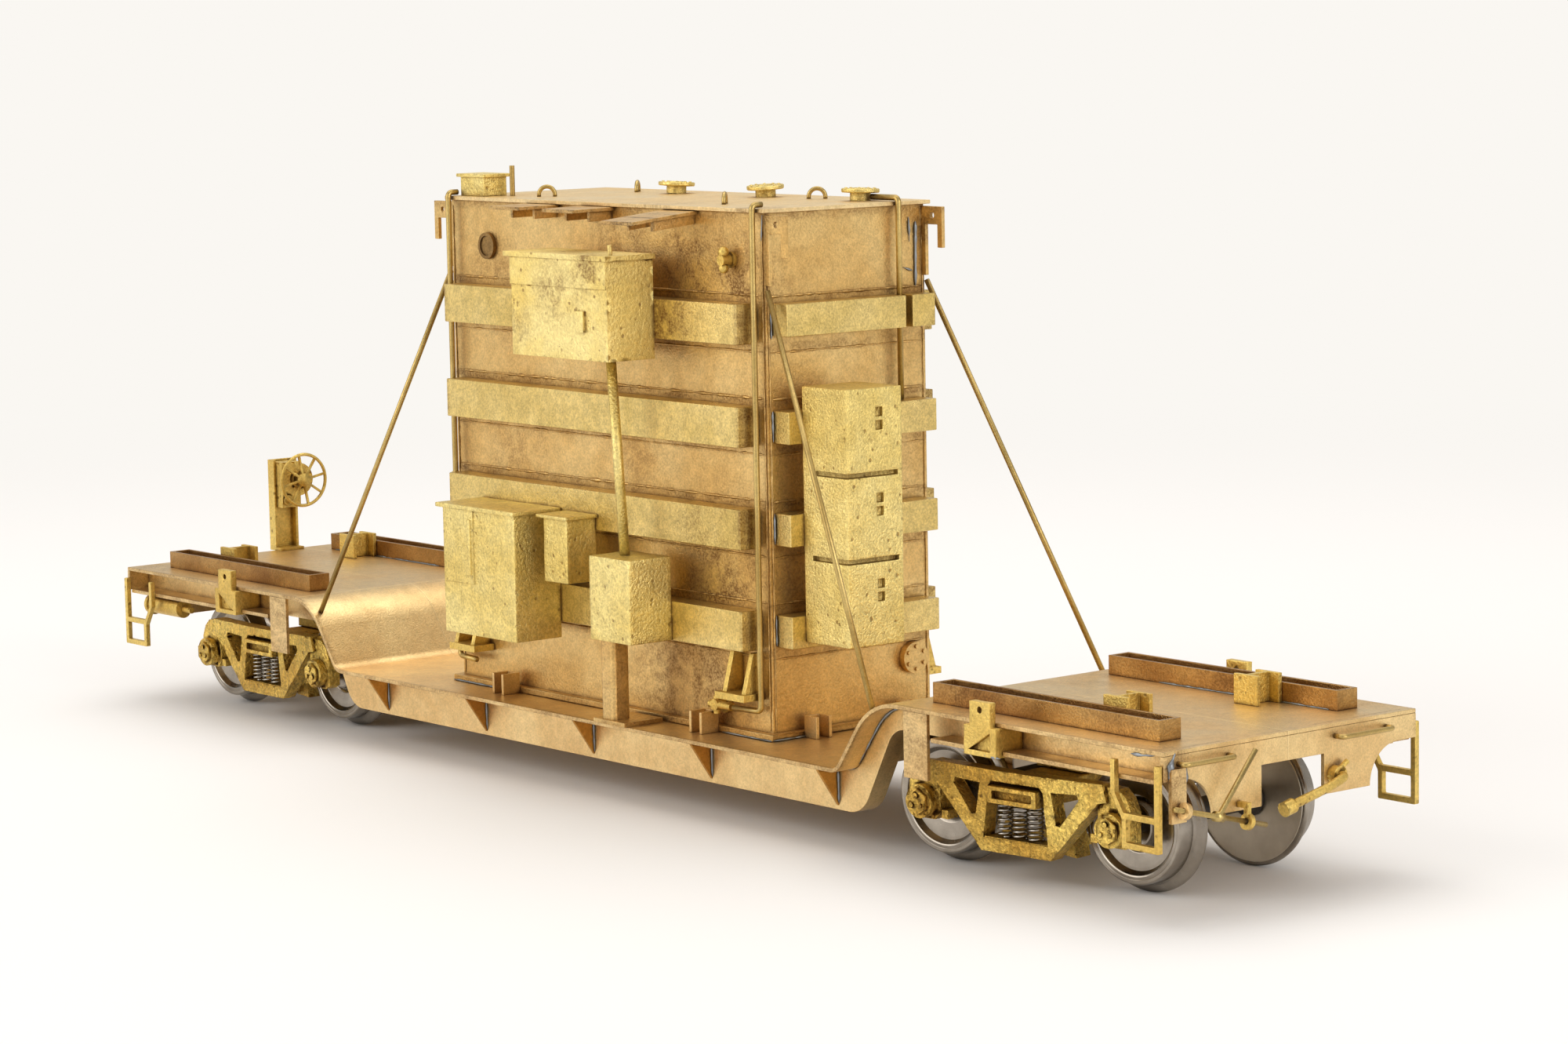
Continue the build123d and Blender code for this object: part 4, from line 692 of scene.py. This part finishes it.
def solder():
    """The runs of solder along the goosenecks, gussets, band ends, base strips and trays."""
    runs = []
    for side, sign in ((-1, -1), (-1, 1), (1, -1), (1, 1)):
        line = [(sign * x, y, z) for x, y, z in s_line(side * 13.62, 0.06)]
        runs.append(bead(line, 0.17, 3.0 * side + sign))
    for station in GUSSET_STATIONS:
        x = station + 0.24
        for side in (-1, 1):
            runs.append(bead([(x, side * 13.6, 7.7), (x, side * 13.55, 4.4)], 0.17, station * side))
    for foot in BAND_FEET:
        for side in (-1, 1):
            for end in (-1, 1):
                edge = (end * 24.95, side * 10.45)
                runs.append(bead([(*edge, foot + 0.2), (*edge, foot + 3.8)], 0.16, foot + side + end))
                edge = (end * 26.6, side * 9.75)
                runs.append(bead([(*edge, foot + 0.5), (*edge, foot + 3.5)], 0.14, foot - side - end))
    # the near corner of the end sill, a jacking bracket, the lifting lug and the tank's near corner
    runs += [bead([(86.9, -14.6, 15.4), (87.0, -15.3, 14.2), (87.0, -15.2, 12.6)], 0.5, 2.0),
             bead([(87.0, -13.6, 14.3), (87.0, -13.5, 12.4)], 0.36, 4.0),
             bead([(86.0, -15.6, 15.2), (84.4, -16.1, 15.0), (83.0, -16.1, 15.0)], 0.2, 5.0),
             bead([(61.5, -16.6, 12.6), (66.8, -16.8, 12.5)], 0.2, 6.0),
             bead([(26.55, 9.1, 58.5), (26.55, 9.0, 52.0)], 0.26, 7.0),
             bead([(26.55, 8.2, 59.0), (26.55, 8.3, 56.5)], 0.18, 8.0),
             bead([(26.55, 7.4, 54.0), (26.55, 8.6, 53.6)], 0.16, 9.0),
             bead([(26.4, -10.5, 60.0), (26.2, -10.5, 57.5)], 0.13, 10.0)]
    for side in (-1, 1):
        for sign in (-1, 1):
            end_strip = [(side * 27.3, sign * 11.0, 8.42), (side * 27.35, sign * 4.0, 8.4)]
            side_strip = [(side * 27.2, sign * 11.15, 8.4), (side * 19.4, sign * 11.15, 8.4)]
            tray = [(side * 60, sign * 9.9, PLATFORM), (side * 82, sign * 9.9, PLATFORM)]
            runs.append(bead(end_strip, 0.14, side + sign))
            runs.append(bead(side_strip, 0.12, 3 * side + sign))
            runs.append(bead(tray, 0.12, 5 * side + sign))
    made = piece_from("solder_runs", joined("solder_runs", runs), solder_grey, "car_body")
    smooth(made.data, 60)


# ------------------------------------------------------------------ build
# Each kept node, with its material and how far its edges are rounded.
KEPT = (
    ("deck_plate", copper_deck, 0.06), ("right_side_sill", copper_deck, 0.05),
    ("left_side_sill", copper_deck, 0.05), ("end_sill_a", copper_deck, 0.05),
    ("end_sill_b", copper_deck, 0.05), ("drop_plates", copper_deck, 0.05),
    ("tank_front_panel", copper_tank, 0.05), ("tank_back_panel", copper_tank, 0.05),
    ("tank_end_panels", copper_tank, 0.05), ("tank_lid", lid_brass, 0.06),
    ("tank_base_strips", copper_tank, 0.12), ("side_bands", band_brass, 0.09),
    ("end_bands", band_brass, 0.09), ("sill_gussets", gusset_brass, 0.05),
    ("load_trays", tray_brown, 0.05), ("stake_pockets", bracket_brass, 0.05),
    ("stirrup_steps", bracket_brass, 0.1), ("end_grab_irons", wire_brass, 0),
    ("lever_hangers", copper_deck, 0.05), ("lever_eyebolts", bracket_brass, 0.05),
    ("uncoupling_lever_a", wire_brass, 0), ("uncoupling_lever_b", wire_brass, 0),
    ("body_bolsters", bracket_brass, 0.1), ("kingpin_screws", wheel_back, 0.05),
    ("brake_post", bracket_brass, 0.06), ("brake_wheel", bracket_brass, 0),
    ("conduit", cast_brass, 0), ("support_column", copper_tank, 0.08),
    ("jack_pads", bracket_brass, 0.06), ("access_cover", copper_tank, 0.05),
    ("dial_gauge", gauge_brass, 0.05), ("tank_pipes", wire_brass, 0),
    ("lifting_loops", wire_brass, 0), ("lid_box", cast_brass, 0.06),
    ("lid_post", wire_brass, 0.04), ("lid_hoods", hood_brass, 0.04),
    ("lifting_lugs", copper_tank, 0.05), ("tie_rods", wire_brass, 0),
    ("deck_cleats", copper_deck, 0.05), ("truck_a_bolster", rough_brass, 0.1),
    ("truck_b_bolster", rough_brass, 0.1), ("tank_valves", bracket_brass, 0.05),
    ("brake_cylinder", bracket_brass, 0.06))

# Each cast node: material, longest edge, rounding, height and fineness of the lumps, seed.
CAST = (
    ("control_box", stained_box, 0.8, 0.09, 0.025, 0.3, 1.0),
    ("relay_cabinet", cast_brass, 0.8, 0.1, 0.03, 0.3, 2.0),
    ("terminal_box", cast_brass, 0.7, 0.1, 0.05, 0.4, 3.0),
    ("junction_box", cast_brass, 0.7, 0.11, 0.06, 0.4, 4.0),
    ("end_cabinet", cast_brass, 0.8, 0.09, 0.04, 0.3, 5.0),
    ("truck_a_side_frames", rough_brass, 0.7, 0.1, 0.05, 0.9, 6.0),
    ("truck_b_side_frames", rough_brass, 0.7, 0.1, 0.05, 0.9, 7.0),
    ("jacking_brackets", bracket_brass, 0.6, 0.08, 0.04, 0.9, 8.0),
    ("air_hoses", bracket_brass, 0.5, 0.06, 0.04, 1.2, 9.0),
    ("brake_gear_box", bracket_brass, 0.5, 0.1, 0.05, 1.2, 10.0))


def build():
    for node, material, width in KEPT:
        dress(node, material, width)
    for row in CAST:
        casting(*row)
    wheelsets()
    bushings()
    coils()
    solder()
    seams()


build()


# ------------------------------------------------------------------ stage
def light(name, place, aim, size, power, colour):
    data = bpy.data.lights.new(name, "AREA")
    data.shape = "RECTANGLE"
    data.size, data.size_y = size
    data.energy = power
    data.color = colour
    lamp = bpy.data.objects.new(name, data)
    bpy.context.scene.collection.objects.link(lamp)
    lamp.location = place
    lamp.rotation_euler = (Vector(place) - Vector(aim)).to_track_quat("Z", "Y").to_euler()


BACKGROUND = srgb(250, 247, 242)


def stage():
    mesh = bpy.data.meshes.new("floor")
    mesh.from_pydata([(-20, -20, 0), (20, -20, 0), (20, 20, 0), (-20, 20, 0)], [], [(0, 1, 2, 3)])
    floor = bpy.data.objects.new("floor", mesh)
    bpy.context.scene.collection.objects.link(floor)
    g = Graph("paper")
    g.shader.inputs["Base Color"].default_value = (0.86, 0.845, 0.835, 1)
    g.shader.inputs["Roughness"].default_value = 0.6
    g.shader.inputs["Specular IOR Level"].default_value = 0.2
    glow = g.node("ShaderNodeEmission")
    glow.inputs["Color"].default_value = BACKGROUND
    split = g.node("ShaderNodeVectorMath", operation="LENGTH")
    g.link(g.mm, split.inputs[0])
    far = g.ramp(split.outputs["Value"], 130, 420)
    mixed = g.node("ShaderNodeMixShader")
    g.link(far, mixed.inputs[0])
    g.link(g.shader.outputs["BSDF"], mixed.inputs[1])
    g.link(glow.outputs[0], mixed.inputs[2])
    out = next(n for n in g.tree.nodes if n.type == "OUTPUT_MATERIAL")
    g.link(mixed.outputs[0], out.inputs["Surface"])
    mesh.materials.append(g.material)
    world = bpy.data.worlds.new("studio")
    bpy.context.scene.world = world
    world.use_nodes = True
    tree = world.node_tree
    tree.nodes.clear()
    path = tree.nodes.new("ShaderNodeLightPath")
    seen = tree.nodes.new("ShaderNodeBackground")
    seen.inputs["Color"].default_value = BACKGROUND
    around = tree.nodes.new("ShaderNodeBackground")
    around.inputs["Color"].default_value = (1.0, 0.975, 0.94, 1)
    around.inputs["Strength"].default_value = 0.58
    pick = tree.nodes.new("ShaderNodeMixShader")
    out = tree.nodes.new("ShaderNodeOutputWorld")
    tree.links.new(path.outputs["Is Camera Ray"], pick.inputs[0])
    tree.links.new(around.outputs[0], pick.inputs[1])
    tree.links.new(seen.outputs[0], pick.inputs[2])
    tree.links.new(pick.outputs[0], out.inputs["Surface"])
    light("top", (-0.12, 0.1, 0.6), (0, 0, 0), (0.7, 0.7), 2.5, (1.0, 0.98, 0.95))
    light("front", (-0.25, -0.75, 0.35), (0, 0, 0.03), (0.8, 0.6), 3.4, (1.0, 0.98, 0.95))
    light("right", (0.8, 0.05, 0.3), (0, 0, 0.03), (0.5, 0.5), 2.7, (1.0, 0.98, 0.95))
    bpy.context.scene.view_settings.view_transform = "Standard"


stage()
